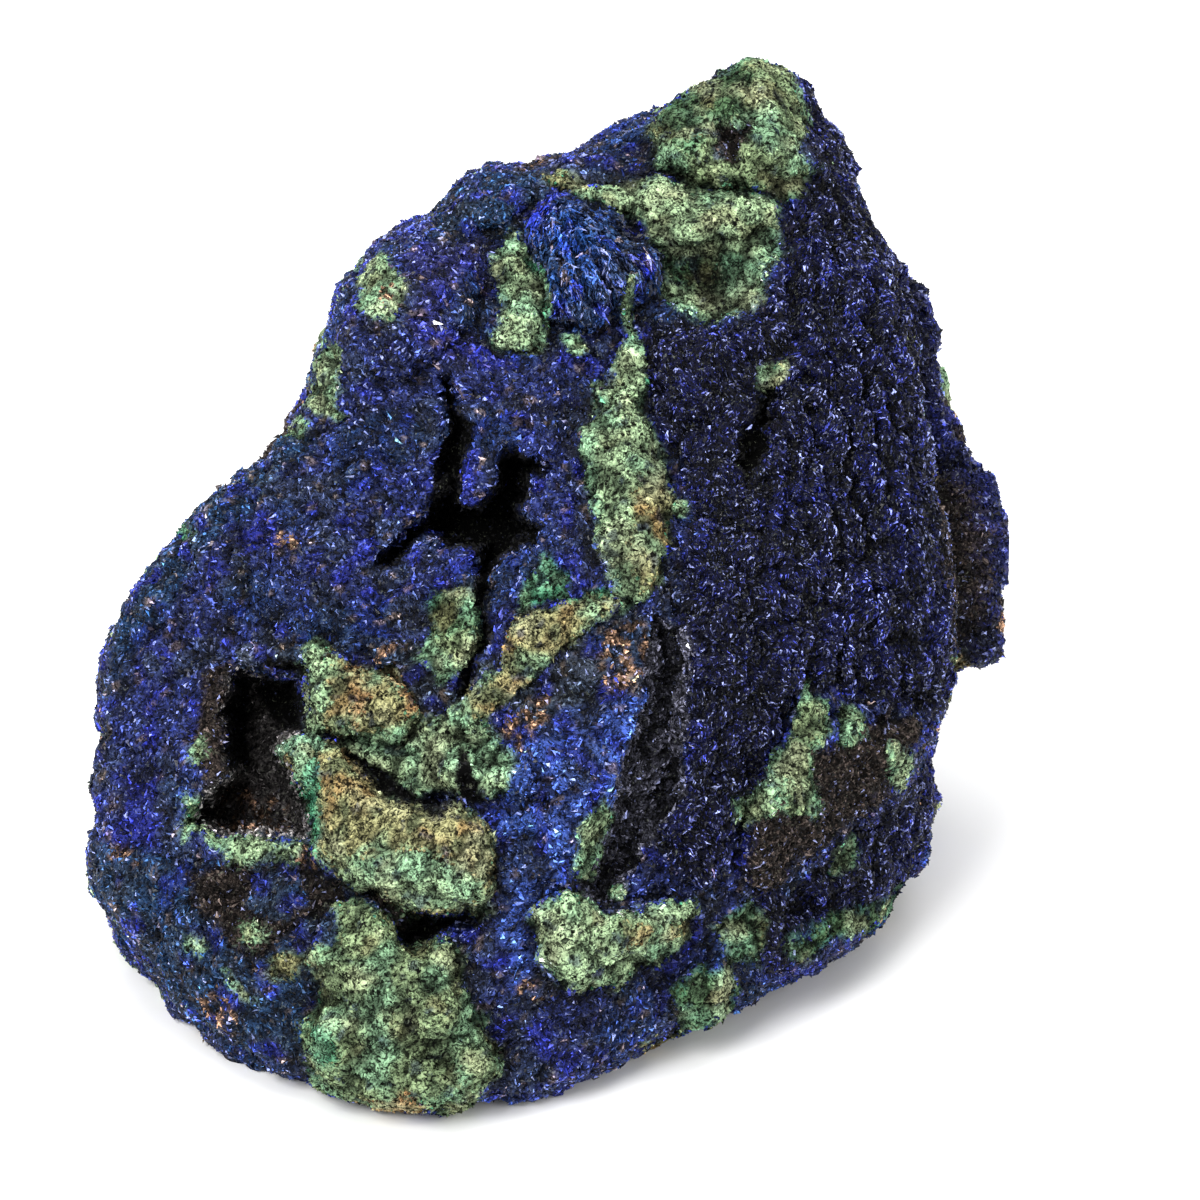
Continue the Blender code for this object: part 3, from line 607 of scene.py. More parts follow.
# %% Patches of the display face
# Colour, half the width of its soft edge, and its outline.
PATCHES = (
    # druse of the flank
    ("indigo", 1.2, ((3.2, 22.6), (6.7, 22.2), (8.7, 21.4), (12.6, 23.0), (14.6, 28.0), (16.0, 32.0),
        (17.0, 36.0), (16.5, 40.0), (15.2, 43.2), (22.4, 43.2), (34.4, 16.0), (34.4, -9.6), (24.4, -9.0),
        (20.0, -7.2), (16.0, -7.2), (13.6, -12.8), (12.6, -16.0), (8.4, -23.2), (3.6, -18.4), (7.2, -14.4),
        (7.2, -8.0), (5.8, -2.0), (6.8, 3.2), (8.0, 7.0), (6.4, 10.4), (4.4, 13.6), (3.2, 18.8))),
    # upper left hump
    ("violet", 2.0, ((-16.0, 28.8), (-9.6, 28.8), (-8.8, 24.0), (-10.4, 18.4), (-13.6, 20.0),
        (-15.2, 24.0))),
    # blue of the left rim
    ("teal", 1.5, ((-41.2, -3.2), (-37.8, 0.0), (-34.0, 6.0), (-31.4, 9.6), (-28.2, 12.0), (-24.0, 15.0),
        (-22.2, 12.8), (-26.0, 9.4), (-29.4, 6.2), (-32.6, 2.2), (-35.8, -2.0), (-39.0, -5.0))),
    # lump behind the domes
    ("teal", 1.2, ((-13.8, 29.4), (-12.3, 32.3), (-9.1, 34.8), (-6.4, 34.1), (-3.2, 34.2), (-3.2, 31.6),
        (-5.6, 29.8), (-8.0, 29.0), (-10.8, 29.3))),
    # blue by the crown
    ("cobalt", 1.0, ((-1.8, 34.2), (0.0, 37.0), (4.0, 38.6), (4.4, 36.0), (4.0, 33.3), (0.8, 33.4))),
    # azurite dome
    ("cobalt", 1.0, ((-7.6, 27.0), (-5.8, 30.7), (-3.8, 32.8), (-1.6, 32.8), (0.8, 31.4), (3.2, 30.2),
        (4.8, 28.0), (5.0, 24.6), (2.4, 23.0), (0.0, 21.6), (-3.2, 20.8), (-5.6, 24.0))),
    # lower left
    ("teal", 1.6, ((-40.6, -20.0), (-33.6, -20.0), (-28.8, -21.6), (-21.6, -22.4), (-20.4, -26.4),
        (-22.4, -32.0), (-24.0, -36.8), (-28.8, -36.8), (-33.6, -33.0), (-38.4, -26.8), (-41.0, -23.6))),
    # bright band
    ("vivid", 1.0, ((-7.6, -11.6), (-4.4, -8.0), (0.0, -7.2), (3.2, -4.4), (5.4, -8.0), (4.4, -13.6),
        (1.6, -16.0), (-0.8, -19.2), (-3.2, -24.0), (-5.2, -28.8), (-6.8, -32.0), (-8.0, -27.2),
        (-8.0, -20.0))),
    # grey blue ridge
    ("slate", 1.2, ((-4.4, -2.0), (0.0, -1.2), (4.4, -2.0), (4.4, -7.2), (0.0, -8.0), (-4.8, -9.6),
        (-8.0, -10.8), (-7.6, -7.2))),
    # tan lights
    ("rust", 0.7, ((-0.3, -3.2), (3.2, -2.2), (4.4, -4.4), (3.2, -7.4), (0.0, -6.6))),
    # tan spots
    ("rust", 0.6, ((-7.0, -9.0), (-4.4, -7.2), (-3.2, -8.4), (-5.6, -10.8), (-7.6, -12.8))),
    # dark pocket
    ("slate", 1.0, ((-18.2, -3.6), (-13.6, -3.2), (-10.4, -5.2), (-10.8, -9.2), (-14.0, -10.4),
        (-17.2, -8.0))),
    # tan beside the pocket
    ("rust", 0.6, ((-18.2, -3.2), (-16.0, -3.6), (-16.2, -5.4), (-18.0, -5.2))),
    # lower left earth
    ("brown", 1.4, ((-32.8, -21.4), (-28.0, -21.0), (-20.4, -22.4), (-20.0, -24.4), (-24.0, -26.4),
        (-27.2, -29.2), (-30.0, -27.2), (-32.0, -24.4))),
    # dark edge of the left hollow
    ("brown", 1.0, ((-31.6, -5.6), (-29.4, -4.8), (-29.2, -14.0), (-31.6, -15.6), (-32.2, -10.0))),
    # blue lumps
    ("teal", 0.7, ((-27.6, -21.2), (-24.8, -21.8), (-23.6, -24.4), (-25.6, -26.0), (-28.0, -24.0))),
    # dark seam
    ("seam", 0.5, ((4.1, -1.4), (6.6, -1.6), (7.3, -8.0), (7.1, -15.2), (5.0, -18.2), (3.4, -21.8),
        (0.8, -24.6), (-1.6, -24.4), (-2.4, -22.8), (-0.4, -20.0), (1.0, -15.6), (2.6, -10.7),
        (3.4, -7.2))),
    # central hollow, painted black as shade
    ("black", 0.35, ((-17.4, 3.5), (-15.6, 4.8), (-13.8, 6.4), (-12.8, 8.0), (-13.1, 9.6), (-12.6, 12.0),
        (-12.6, 17.8), (-11.8, 17.6), (-11.7, 15.0), (-10.4, 14.4), (-10.4, 11.8), (-11.3, 9.6),
        (-11.4, 8.2), (-10.7, 7.8), (-9.6, 8.2), (-8.8, 9.0), (-8.0, 9.4), (-8.0, 10.8), (-6.4, 12.1),
        (-4.4, 10.6), (-4.6, 9.8), (-5.6, 9.3), (-5.3, 8.0), (-6.2, 7.0), (-6.0, 6.2), (-4.8, 5.6),
        (-5.1, 4.7), (-6.6, 4.2), (-7.6, 3.2), (-8.5, 2.0), (-9.3, -1.0), (-9.0, -3.2), (-10.4, -7.4),
        (-11.2, -7.2), (-10.2, -3.2), (-10.4, -1.0), (-9.4, 2.0), (-9.0, 3.2), (-9.6, 4.4), (-11.0, 4.8),
        (-12.3, 4.2), (-12.8, 5.1), (-13.6, 5.4), (-15.0, 4.3), (-16.4, 3.2))),
    ("black", 0.35, ((-15.6, 5.0), (-13.6, 8.0), (-12.0, 9.4), (-11.6, 6.0), (-13.4, 5.4))),
    # left hollow
    ("blackbrown", 0.8, ((-29.8, -6.4), (-28.1, -5.4), (-24.6, -7.2), (-23.2, -9.8), (-25.3, -11.8),
        (-24.2, -15.0), (-22.9, -16.0), (-23.4, -18.9), (-30.2, -19.0), (-32.8, -17.9), (-31.6, -15.5),
        (-29.4, -14.0), (-29.4, -11.8), (-29.8, -9.0))),
    # dark slit and dark top of the left hollow, painted black as shade
    ("black", 0.4, ((-29.5, -6.2), (-28.2, -6.6), (-28.0, -13.0), (-29.4, -13.6))),
    ("black", 0.4, ((-27.0, -6.4), (-24.8, -7.0), (-23.4, -9.0), (-23.2, -10.2), (-25.4, -10.2),
        (-27.0, -8.4))),
    ("rust", 0.5, ((-31.0, -15.8), (-27.0, -15.6), (-24.8, -17.0), (-24.8, -18.6), (-30.8, -18.6))),
    # arch over the left hollow
    ("slate", 0.4, ((-29.3, -4.0), (-27.0, -3.3), (-24.2, -3.9), (-22.9, -5.8), (-23.2, -7.2),
        (-24.6, -6.8), (-27.0, -6.4), (-28.6, -5.6))),
    # small hole above the arch, painted black as shade
    ("black", 0.3, SUNK["small hole over the left hollow"][2]),
    # slot under the block, painted black as shade
    ("black", 0.5, ((-16.5, -26.0), (-14.9, -25.0), (-9.6, -25.1), (-8.6, -24.6), (-11.6, -26.2),
        (-14.0, -27.0), (-15.8, -27.5))),
    # earth under the block
    ("brown", 0.8, ((-21.6, -22.2), (-16.3, -23.4), (-14.9, -25.1), (-16.3, -26.1), (-18.4, -24.0))),
    # right patch
    ("brown", 1.4, ((10.8, -22.4), (12.8, -16.0), (14.0, -12.8), (16.0, -11.2), (18.4, -11.6),
        (21.3, -10.2), (24.6, -9.2), (26.0, -10.0), (24.4, -13.6), (21.4, -17.0), (16.9, -20.0),
        (14.3, -23.4), (12.0, -23.6))),
    # dark blue under the right patch
    ("indigo", 1.6, ((11.6, -24.0), (15.2, -23.4), (18.4, -20.0), (22.4, -17.2), (26.0, -13.6),
        (27.2, -16.0), (25.6, -20.8), (24.4, -24.0), (18.4, -27.6), (13.6, -30.0), (11.6, -27.2))),
    # crown
    ("fern", 0.5, ((3.5, 36.8), (4.8, 39.0), (8.6, 41.9), (12.4, 44.0), (15.7, 41.6), (16.6, 37.6),
        (16.9, 33.9), (16.0, 31.6), (13.8, 32.8), (9.5, 33.1), (7.2, 32.8), (5.0, 34.4))),
    # dark spot in the crown
    ("brown", 0.6, ((9.0, 35.4), (9.6, 37.6), (11.7, 38.2), (12.0, 37.0), (10.8, 35.2))),
    # shelf
    ("sage", 0.6, ((-3.2, 33.3), (-1.2, 34.0), (0.8, 33.4), (5.2, 33.3), (9.6, 33.1), (14.0, 32.2),
        (14.4, 29.2), (14.8, 28.0), (13.2, 26.4), (12.6, 24.0), (8.7, 21.8), (6.7, 22.9), (4.8, 24.3),
        (5.1, 27.2), (4.0, 29.2), (2.7, 30.2), (0.0, 31.5))),
    # shadow of the shelf
    ("moss", 0.9, ((5.0, 27.0), (8.0, 27.6), (11.6, 27.6), (12.4, 26.4), (9.0, 25.4), (6.4, 25.2))),
    # dark side of the crown
    ("moss", 1.2, ((3.6, 36.8), (6.4, 40.4), (9.6, 42.6), (12.0, 43.6), (12.8, 41.2), (10.4, 38.8),
        (7.2, 36.2))),
    # sill behind the dome
    ("olive", 0.5, ((-4.4, 33.9), (-1.6, 34.6), (-0.8, 33.6), (-2.4, 32.8), (-4.2, 33.1))),
    # oval patch
    ("sage", 0.5, ((-9.0, 27.7), (-7.8, 29.0), (-6.0, 28.4), (-4.0, 25.2), (-3.5, 23.4), (-5.1, 20.0),
        (-8.2, 19.8), (-8.8, 21.5), (-8.2, 23.4))),
    # oval patch edge
    ("emerald", 0.4, ((-6.0, 27.4), (-4.4, 26.2), (-3.5, 24.0), (-4.2, 22.4), (-5.0, 24.8))),
    # left dome patch
    ("sage", 0.5, ((-19.0, 26.4), (-17.6, 27.4), (-16.0, 26.6), (-15.6, 24.4), (-16.2, 22.6), (-18.2, 22.4),
        (-19.4, 23.6))),
    # rust on the left dome
    ("rust", 0.35, ((-17.8, 25.0), (-16.3, 25.1), (-16.0, 23.5), (-17.3, 23.2))),
    # left edge patch
    ("sage", 0.5, ((-22.8, 18.6), (-21.6, 20.4), (-20.4, 19.6), (-20.6, 17.2), (-20.4, 14.4), (-22.4, 14.4),
        (-23.5, 15.2))),
    # left edge knob
    ("sage", 0.4, ((-25.2, 14.0), (-24.0, 15.0), (-23.0, 14.0), (-24.0, 12.6))),
    # rim knob
    ("emerald", 0.35, ((-33.9, 5.8), (-32.8, 6.2), (-32.3, 5.3), (-33.3, 4.6))),
    # nodule under the azurite dome
    ("sage", 0.4, ((-2.6, 20.6), (-1.4, 20.8), (-1.0, 19.8), (-1.8, 18.9), (-2.6, 19.4))),
    # vein top
    ("sage", 0.5, ((1.8, 25.8), (2.5, 25.6), (2.6, 22.0), (2.0, 21.2), (1.5, 23.0))),
    # vein
    ("sage", 0.6, ((1.4, 21.6), (2.6, 22.0), (3.7, 18.8), (3.2, 15.6), (5.1, 11.6), (6.2, 8.0), (5.4, 4.0),
        (3.6, -0.5), (1.4, -1.0), (0.3, 3.2), (-0.6, 4.4), (-0.6, 8.8), (-1.6, 12.8), (-0.3, 16.4),
        (1.0, 18.8))),
    # vein foot
    ("olive", 0.8, ((3.2, 10.4), (5.1, 10.4), (6.1, 7.6), (5.1, 3.2), (3.2, -0.2), (2.0, 3.2))),
    # emerald patch
    ("emerald", 0.8, ((-6.4, -1.0), (-6.2, 1.6), (-4.8, 3.5), (-3.0, 2.4), (-2.0, 0.0), (-4.2, -0.6))),
    # dark green clump
    ("moss", 1.0, ((-14.0, -3.2), (-14.6, -0.4), (-12.8, 1.2), (-10.4, 0.8), (-9.8, -1.2), (-10.4, -3.2))),
    # green strip
    ("emerald", 0.6, ((-3.2, 0.8), (0.4, 1.0), (0.8, -0.2), (-2.4, -0.6))),
    # slanting ridge
    ("olive", 0.8, ((-12.8, -10.1), (-10.6, -6.7), (-8.0, -5.1), (-7.6, -2.7), (-4.8, -1.0), (-0.8, 0.6),
        (1.8, -0.2), (-3.2, -4.4), (-7.6, -8.3), (-11.0, -10.9))),
    # clump over the crack
    ("fern", 0.8, ((-14.7, -5.1), (-14.1, -2.9), (-10.8, -2.6), (-9.8, -4.0), (-10.4, -5.4),
        (-12.8, -5.8))),
    # upper block
    ("olive", 0.5, ((-24.0, -4.0), (-22.4, -3.4), (-20.0, -4.5), (-17.0, -6.0), (-15.4, -8.8),
        (-16.0, -11.4), (-19.8, -10.6), (-22.9, -10.4), (-23.7, -7.6))),
    # green side of the upper block
    ("sage", 0.9, ((-24.0, -4.0), (-22.4, -3.4), (-21.2, -5.0), (-21.6, -8.0), (-22.0, -10.6),
        (-23.2, -10.4), (-23.7, -7.6))),
    # tan streaks of the upper block
    ("tan", 0.5, ((-20.6, -4.8), (-19.6, -4.8), (-18.2, -7.2), (-18.6, -10.2), (-20.4, -10.6),
        (-19.8, -7.8))),
    ("tan", 0.5, ((-18.0, -5.6), (-16.6, -5.4), (-15.2, -8.0), (-14.6, -10.4), (-16.2, -10.0),
        (-16.6, -7.4))),
    # small clumps
    ("sage", 0.7, ((-19.8, -10.2), (-16.6, -9.9), (-13.6, -9.8), (-10.4, -9.0), (-7.6, -11.6),
        (-6.4, -13.6), (-6.8, -16.0), (-8.8, -16.2), (-11.0, -16.2), (-12.8, -15.2), (-14.8, -16.0),
        (-16.4, -14.8), (-18.6, -13.4), (-20.8, -11.4))),
    # split block
    ("olive", 0.8, ((-25.4, -12.6), (-24.0, -10.9), (-20.7, -11.3), (-18.6, -13.4), (-15.0, -16.2),
        (-11.5, -16.6), (-8.5, -18.6), (-8.2, -23.0), (-10.3, -25.3), (-15.2, -25.0), (-20.7, -22.0),
        (-22.9, -20.4), (-22.7, -17.6), (-24.4, -14.6))),
    # lower part of the block
    ("sage", 1.6, ((-21.6, -20.0), (-16.0, -20.0), (-10.4, -21.6), (-9.2, -24.4), (-15.2, -24.8),
        (-20.4, -22.0))),
    # left edge of the block
    ("emerald", 0.5, ((-24.0, -11.6), (-22.6, -12.8), (-22.6, -17.6), (-22.4, -20.4), (-23.2, -20.6),
        (-23.4, -17.2), (-24.4, -14.4))),
    ("mint", 0.4, ((-25.6, -11.9), (-24.0, -10.7), (-22.0, -11.0), (-22.2, -12.2), (-24.2, -12.8))),
    # split in the block, painted black as shade
    ("black", 0.35, ((-19.8, -12.0), (-17.6, -13.6), (-16.0, -15.2), (-14.6, -16.1), (-12.8, -15.6),
        (-11.8, -16.0), (-12.8, -16.6), (-14.8, -16.7), (-16.3, -15.8), (-18.2, -14.1))),
    # lower lumps
    ("fern", 0.5, ((-21.4, -24.5), (-19.2, -23.5), (-17.2, -25.6), (-16.2, -27.0), (-11.8, -27.0),
        (-10.7, -28.8), (-10.7, -31.2), (-8.8, -33.6), (-8.0, -38.2), (-11.0, -41.4), (-15.8, -40.3),
        (-20.2, -41.3), (-22.8, -40.3), (-23.8, -37.0), (-23.8, -34.2), (-22.4, -32.0), (-23.5, -29.0),
        (-22.9, -27.8), (-20.7, -27.2))),
    ("emerald", 0.6, ((-22.6, -34.0), (-20.6, -34.4), (-21.0, -37.0), (-23.0, -36.8))),
    # tan at the foot
    ("tan", 0.5, ((-20.0, -40.0), (-16.0, -39.8), (-13.6, -40.6), (-15.8, -41.3), (-19.8, -41.4))),
    # foot lump
    ("sage", 0.6, ((-5.0, -24.6), (-2.8, -23.0), (0.2, -25.1), (1.6, -25.4), (4.0, -24.4), (7.7, -23.6),
        (8.0, -24.8), (6.4, -26.0), (7.2, -27.2), (3.4, -29.4), (2.0, -30.8), (-0.8, -31.2), (-3.2, -30.6),
        (-4.9, -28.4))),
    # foot lump crease
    ("olive", 0.5, ((1.6, -26.0), (7.2, -25.4), (7.2, -26.4), (2.0, -28.0))),
    # blue dot
    ("cobalt", 0.3, ((0.0, -29.1), (1.0, -29.4), (0.6, -30.2), (-0.2, -30.1))),
    # strip by the seam
    ("sage", 0.5, ((-2.7, -22.4), (-2.2, -19.4), (-1.2, -17.0), (0.3, -15.7), (1.0, -17.6), (0.3, -20.2),
        (-1.2, -22.4))),
    # nodule in the seam
    ("sage", 0.35, ((0.3, -22.7), (1.3, -22.4), (1.8, -23.4), (1.3, -24.5), (0.5, -24.2))),
    # sill of the left hollow
    ("sage", 0.6, ((-31.6, -18.6), (-28.8, -19.0), (-26.4, -18.9), (-23.8, -19.0), (-24.0, -21.3),
        (-27.0, -21.4), (-30.0, -20.6), (-31.4, -19.7))),
    # left of the hollow
    ("sage", 0.4, ((-32.8, -11.2), (-31.2, -11.0), (-30.9, -12.2), (-32.3, -12.8))),
    # foot of the left hollow
    ("sage", 0.5, ((-33.6, -16.0), (-32.5, -16.5), (-31.8, -18.6), (-32.8, -18.9))),
    # lower left nodule
    ("sage", 0.5, ((-28.3, -26.1), (-27.0, -25.9), (-26.4, -27.0), (-27.5, -28.0), (-28.3, -27.4))),
    # lower left clump
    ("olive", 0.6, ((-26.4, -28.8), (-25.1, -28.0), (-24.0, -29.0), (-24.6, -30.8), (-26.6, -30.2))),
    # streak at the lower left
    ("sage", 0.5, ((-33.4, -26.7), (-31.7, -26.9), (-31.0, -28.0), (-32.8, -27.8))),
    # another streak at the lower left
    ("sage", 0.5, ((-29.4, -29.2), (-28.3, -30.8), (-27.0, -32.0), (-28.8, -31.4))),
    # pink at the edge
    ("rust", 0.5, ((-32.3, -32.2), (-30.8, -31.0), (-29.2, -32.6), (-30.2, -34.4), (-31.4, -33.6))),
    # pink by the rim
    ("rust", 0.5, ((-39.8, -19.4), (-38.4, -20.0), (-37.4, -21.0), (-39.0, -21.0))),
    # gap between two clumps, painted black as shade
    ("black", 0.3, ((-11.1, -11.8), (-10.5, -11.8), (-10.3, -14.0), (-9.4, -16.2), (-11.0, -16.4),
        (-11.4, -14.2))),
    # tan beside the block
    ("rust", 0.5, ((-24.3, -19.4), (-22.7, -19.7), (-22.6, -21.8), (-24.0, -21.4))),
    # tan under the lumps
    ("rust", 0.6, ((-6.8, -30.4), (-4.0, -31.2), (-3.2, -32.2), (-6.4, -31.8))),
    # orange speck
    ("rust", 0.4, ((-25.3, 5.4), (-24.3, 5.4), (-24.3, 4.3), (-25.3, 4.3))),
    # green of the right patch
    ("fern", 0.6, ((14.1, -12.2), (15.0, -9.0), (16.7, -6.3), (18.1, -8.2), (18.4, -10.8), (16.4, -11.6),
        (17.0, -13.6), (15.0, -15.2), (13.6, -14.4))),
    # arc of the right patch
    ("sage", 0.5, ((18.6, -9.0), (19.4, -8.2), (21.3, -10.0), (21.2, -11.6), (19.8, -11.8), (18.8, -10.8))),
    ("fern", 0.6, ((14.0, -14.6), (16.4, -13.6), (17.6, -15.4), (17.0, -17.0), (14.8, -17.0))),
    # right end of the right patch
    ("sage", 0.4, ((23.2, -12.0), (24.8, -12.8), (24.2, -15.2), (23.0, -14.4))),
    # green arc under the right patch
    ("sage", 0.4, ((20.0, -18.8), (21.0, -19.4), (20.4, -21.4), (18.4, -21.8))),
    # green at the end of the flank
    ("sage", 0.5, ((10.8, -16.0), (13.6, -15.2), (14.0, -17.2), (11.6, -18.8), (10.8, -17.6))),
    # low right lump
    ("moss", 0.8, ((5.8, -31.2), (8.0, -29.3), (9.8, -29.0), (11.4, -31.2), (9.8, -34.2), (6.7, -34.9))),
    # lump by the foot
    ("moss", 0.8, ((8.8, -26.0), (11.2, -24.4), (13.2, -26.0), (12.8, -29.2), (10.0, -28.8))),
    # green at the edge of the foot
    ("olive", 0.8, ((2.4, -36.0), (3.2, -34.8), (6.4, -34.6), (6.7, -35.7), (4.0, -36.6))),
    # right foot edge
    ("moss", 1.0, ((15.2, -27.6), (18.4, -25.2), (22.4, -24.0), (25.0, -22.4), (24.4, -24.4), (20.0, -26.8),
        (16.0, -28.8))),
    # streak in the flank
    ("olive", 0.3, ((12.5, 18.6), (13.4, 18.9), (15.4, 19.0), (14.8, 17.9), (13.8, 17.4), (13.2, 16.2),
        (12.4, 15.8))),
    # foot of the right wall
    ("olive", 0.4, ((28.4, -4.4), (30.0, -3.8), (29.8, -5.1), (28.6, -5.4))),
    # brown of the right wall
    ("brown", 2.0, ((26.2, 10.4), (30.0, 9.6), (31.2, 4.8), (30.8, -1.6), (28.4, -3.6), (27.6, 1.6),
        (27.0, 6.4))),
    # pocket in the flank, painted black as shade
    ("black", 0.4, ((12.4, 16.6), (13.3, 17.0), (13.6, 15.4), (14.6, 14.6), (13.6, 13.9), (12.3, 14.4))),
    ("black", 0.4, ((11.8, 13.2), (13.3, 12.8), (13.3, 11.4), (11.6, 10.2), (10.6, 10.8), (11.0, 12.0))),
    # speck beside the vein
    ("sage", 0.25, ((6.6, 7.4), (7.4, 7.4), (7.2, 6.7), (6.6, 6.8))),
)
EDGE_SHARE = 0.6  # every soft edge is this share of its listed width
# the painted shade of a hollow reaches this far over its edge
HOLLOW_GROWTH = 0.15  # the dark of a hollow reaches this far over its edge
FRAY = ((3.0, 0.6), (1.1, 0.45))  # size and width of the fraying of the patches' edges
print(len(PATCHES), "patches")

# %% Streaks and mottles
# On which mineral, size, where its noise starts, how high the noise must reach, strength, colour.
MOTTLES = (
    ("face", 3.4, 10.0, 0.0, 0.3, 0.6, paint(66, 80, 100)),
    ("blue", 2.3, 20.0, 0.1, 0.35, 0.7, paint(20, 23, 34)),
    ("face", 1.9, 30.0, 0.1, 0.4, 0.7, paint(48, 58, 186)),
    ("flank", 2.6, 35.0, 0.0, 0.4, 0.7, paint(44, 52, 138)),
    ("face", 5.0, 40.0, 0.15, 0.4, 0.45, paint(30, 66, 112)),
    ("face", 0.9, 50.0, 0.42, 0.54, 0.6, paint(150, 128, 108)),
    ("green", 3.0, 60.0, 0.0, 0.35, 0.6, paint(118, 162, 130)),
    ("green", 2.4, 70.0, 0.2, 0.4, 0.3, paint(126, 98, 64)),
    ("flat", 2.4, 75.0, 0.05, 0.3, 0.6, paint(134, 98, 58)),
    ("green", 1.8, 80.0, 0.12, 0.35, 0.7, paint(54, 70, 52)),
    ("green", 2.8, 90.0, 0.1, 0.4, 0.3, paint(180, 182, 146)),
    ("green", 1.0, 15.0, 0.38, 0.48, 0.7, paint(30, 40, 64)),
)
BACK_COLOURS = (("indigo", 11.0, 0.05, 21.0), ("teal", 9.0, 0.2, 37.0), ("violet", 8.0, 0.3, 63.0),
                ("brown", 7.0, 0.32, 5.0), ("sage", 12.0, 0.22, 80.0), ("olive", 6.0, 0.34, 41.0),
                ("rust", 3.4, 0.46, 11.0))  # colour, size, how high its noise must reach, where it starts
BACK_EDGE = (0.05, 0.1)  # how far under and over that level the edge of a patch reaches
BACK_WANDER = (2.6, 2.2)  # size and width of the fraying of its patches
FRONT_ENDS = (-0.16, -0.06)  # the display face ends where a place is this far behind the heart
HIDDEN_ENDS = (-0.12, 0.0)  # what looks away from the eye this much has the minerals of the back
FRAY_START = 50.0
GREEN_RIM, RIM_STRENGTH = (0.1, 0.8), 0.45  # from and to this far inside a green patch it fades
FLECK_SIZE, FLECK_EDGE = 0.8, (-0.12, 0.14)  # rust comes in flecks: from and to which noise they end
print(len(MOTTLES), "mottles")


# %% Lay the minerals on
def lay_on(state, name, weight):
    """Lays a colour over what is there: state holds colour and the share of each kind."""
    target = np.concatenate((PALETTE[name], [name in kind for kind in KINDS]))
    return state + (target - state) * weight[:, None]


def mottled(state, points):
    """Adds the streaks and mottles of each mineral."""
    plain = (1.0 - state[:, HOLLOW]) * (1.0 - state[:, EARTH])
    blue = (1.0 - state[:, GREEN]) * plain
    shares = {"green": state[:, GREEN] * plain, "flat": state[:, FLAT] * plain, "blue": blue,
              "face": blue * (1.0 - state[:, FLANK]), "flank": blue * state[:, FLANK]}
    colours = state[:, :3]
    for mineral, size, offset, low, high, strength, colour in MOTTLES:
        weight = strength * shares[mineral] * smooth_step(low, high, noise_at(points + offset, size))
        colours = colours + (colour - colours) * weight[:, None]
    return np.column_stack((colours, state[:, 3:]))


def mineral_state(rock_places, normals, draw=None):
    """Colour and kinds at places on the rock; draw picks one mineral for each place."""
    def settle(weight):
        return weight if draw is None else (weight > draw).astype(float)

    points = lay_back(rock_places)
    places = wandering(seen_from_the_front(points))
    fray = sum(width * noise_at(points + FRAY_START, size) for size, width in FRAY)
    flecks = smooth_step(*FLECK_EDGE, noise_at(points, FLECK_SIZE))
    front = back = lay_on(np.zeros((len(points), 3 + len(KINDS))), "royal", np.ones(len(points)))
    for name, edge, outline in PATCHES:
        inside = depth_inside(places, outline) + fray + HOLLOW_GROWTH * (name in HOLLOW_NAMES)
        share = smooth_step(-EDGE_SHARE * edge, EDGE_SHARE * edge, inside)
        front = lay_on(front, name, settle(share * flecks if name == "rust" else share))
        if name in GREEN_NAMES:
            rim = RIM_STRENGTH * (1.0 - smooth_step(*GREEN_RIM, inside)) * share
            front = lay_on(front, "emerald", settle(rim))
    size, width = BACK_WANDER
    bent = points + width * noise_ways(points, size)
    for name, size, level, offset in BACK_COLOURS:
        share = smooth_step(level - BACK_EDGE[0], level + BACK_EDGE[1], noise_at(bent + offset, size))
        back = lay_on(back, name, settle(share))
    share = smooth_step(*FRONT_ENDS, unit(points - HEART)[:, 2])
    facing_eye = (unit(stand_up(np.array([[0.0, 0.0, SIGHT]])) - rock_places) * normals).sum(1)
    share *= smooth_step(*HIDDEN_ENDS, facing_eye)
    return mottled(back + (front - back) * settle(share)[:, None], points)


rock_state = mineral_state(rock_points, vertex_normals(rock_mesh))
print("shares of green and earth", rock_state[:, (GREEN, EARTH)].mean(0).round(2))

# %% [markdown]
# ## Fine relief
#
# Malachite grows in rounded clumps with creases between them, which get painted shade further on, and
# azurite as a crust of small crystal clusters. A bump map would leave the edge of the rock smooth, so both
# are cells of Voronoi noise here, pushed out along the surface's own normal, and each mineral has its own
# heights. Ribs run along the flank, and ridges fan out over the dome. The whole surface then sinks a little,
# which leaves room for the crystals: their tips end where the imported model's surface is.

# %% Clumps, fine ribs and ridges
CLUMP_SIZES = (3.2, 1.6, 0.9)
CLUMP_HEIGHTS = {"face": (0.45, 0.45, 0.3), "flank": (0.75, 0.6, 0.3), "green": (0.65, 0.4, 0.2),
                 "flat": (0.3, 0.35, 0.2)}
CLUMP_WOBBLE = (2.2, 0.8)  # size and width
CLUMP_MEAN, GROOVE_DEPTH = 0.35, 0.35
CREASE = (0.02, 0.22)
RIB_PITCH, FINE_RIB_HEIGHT = 1.5, 0.2
RIB_WANDER = ((9.0, 2.2), (3.0, 0.7))  # size and width
RIBS_FADE = (6.0, 16.0, 0.7)  # from and to this far inside the edge, and by how much
FAN_START, FAN_RIDGES, FAN_HEIGHT = (-3.6, 34.4), 40.0, 0.45
FAN_WANDER = (2.0, 7.0, 2.0)  # size, level and width in radians


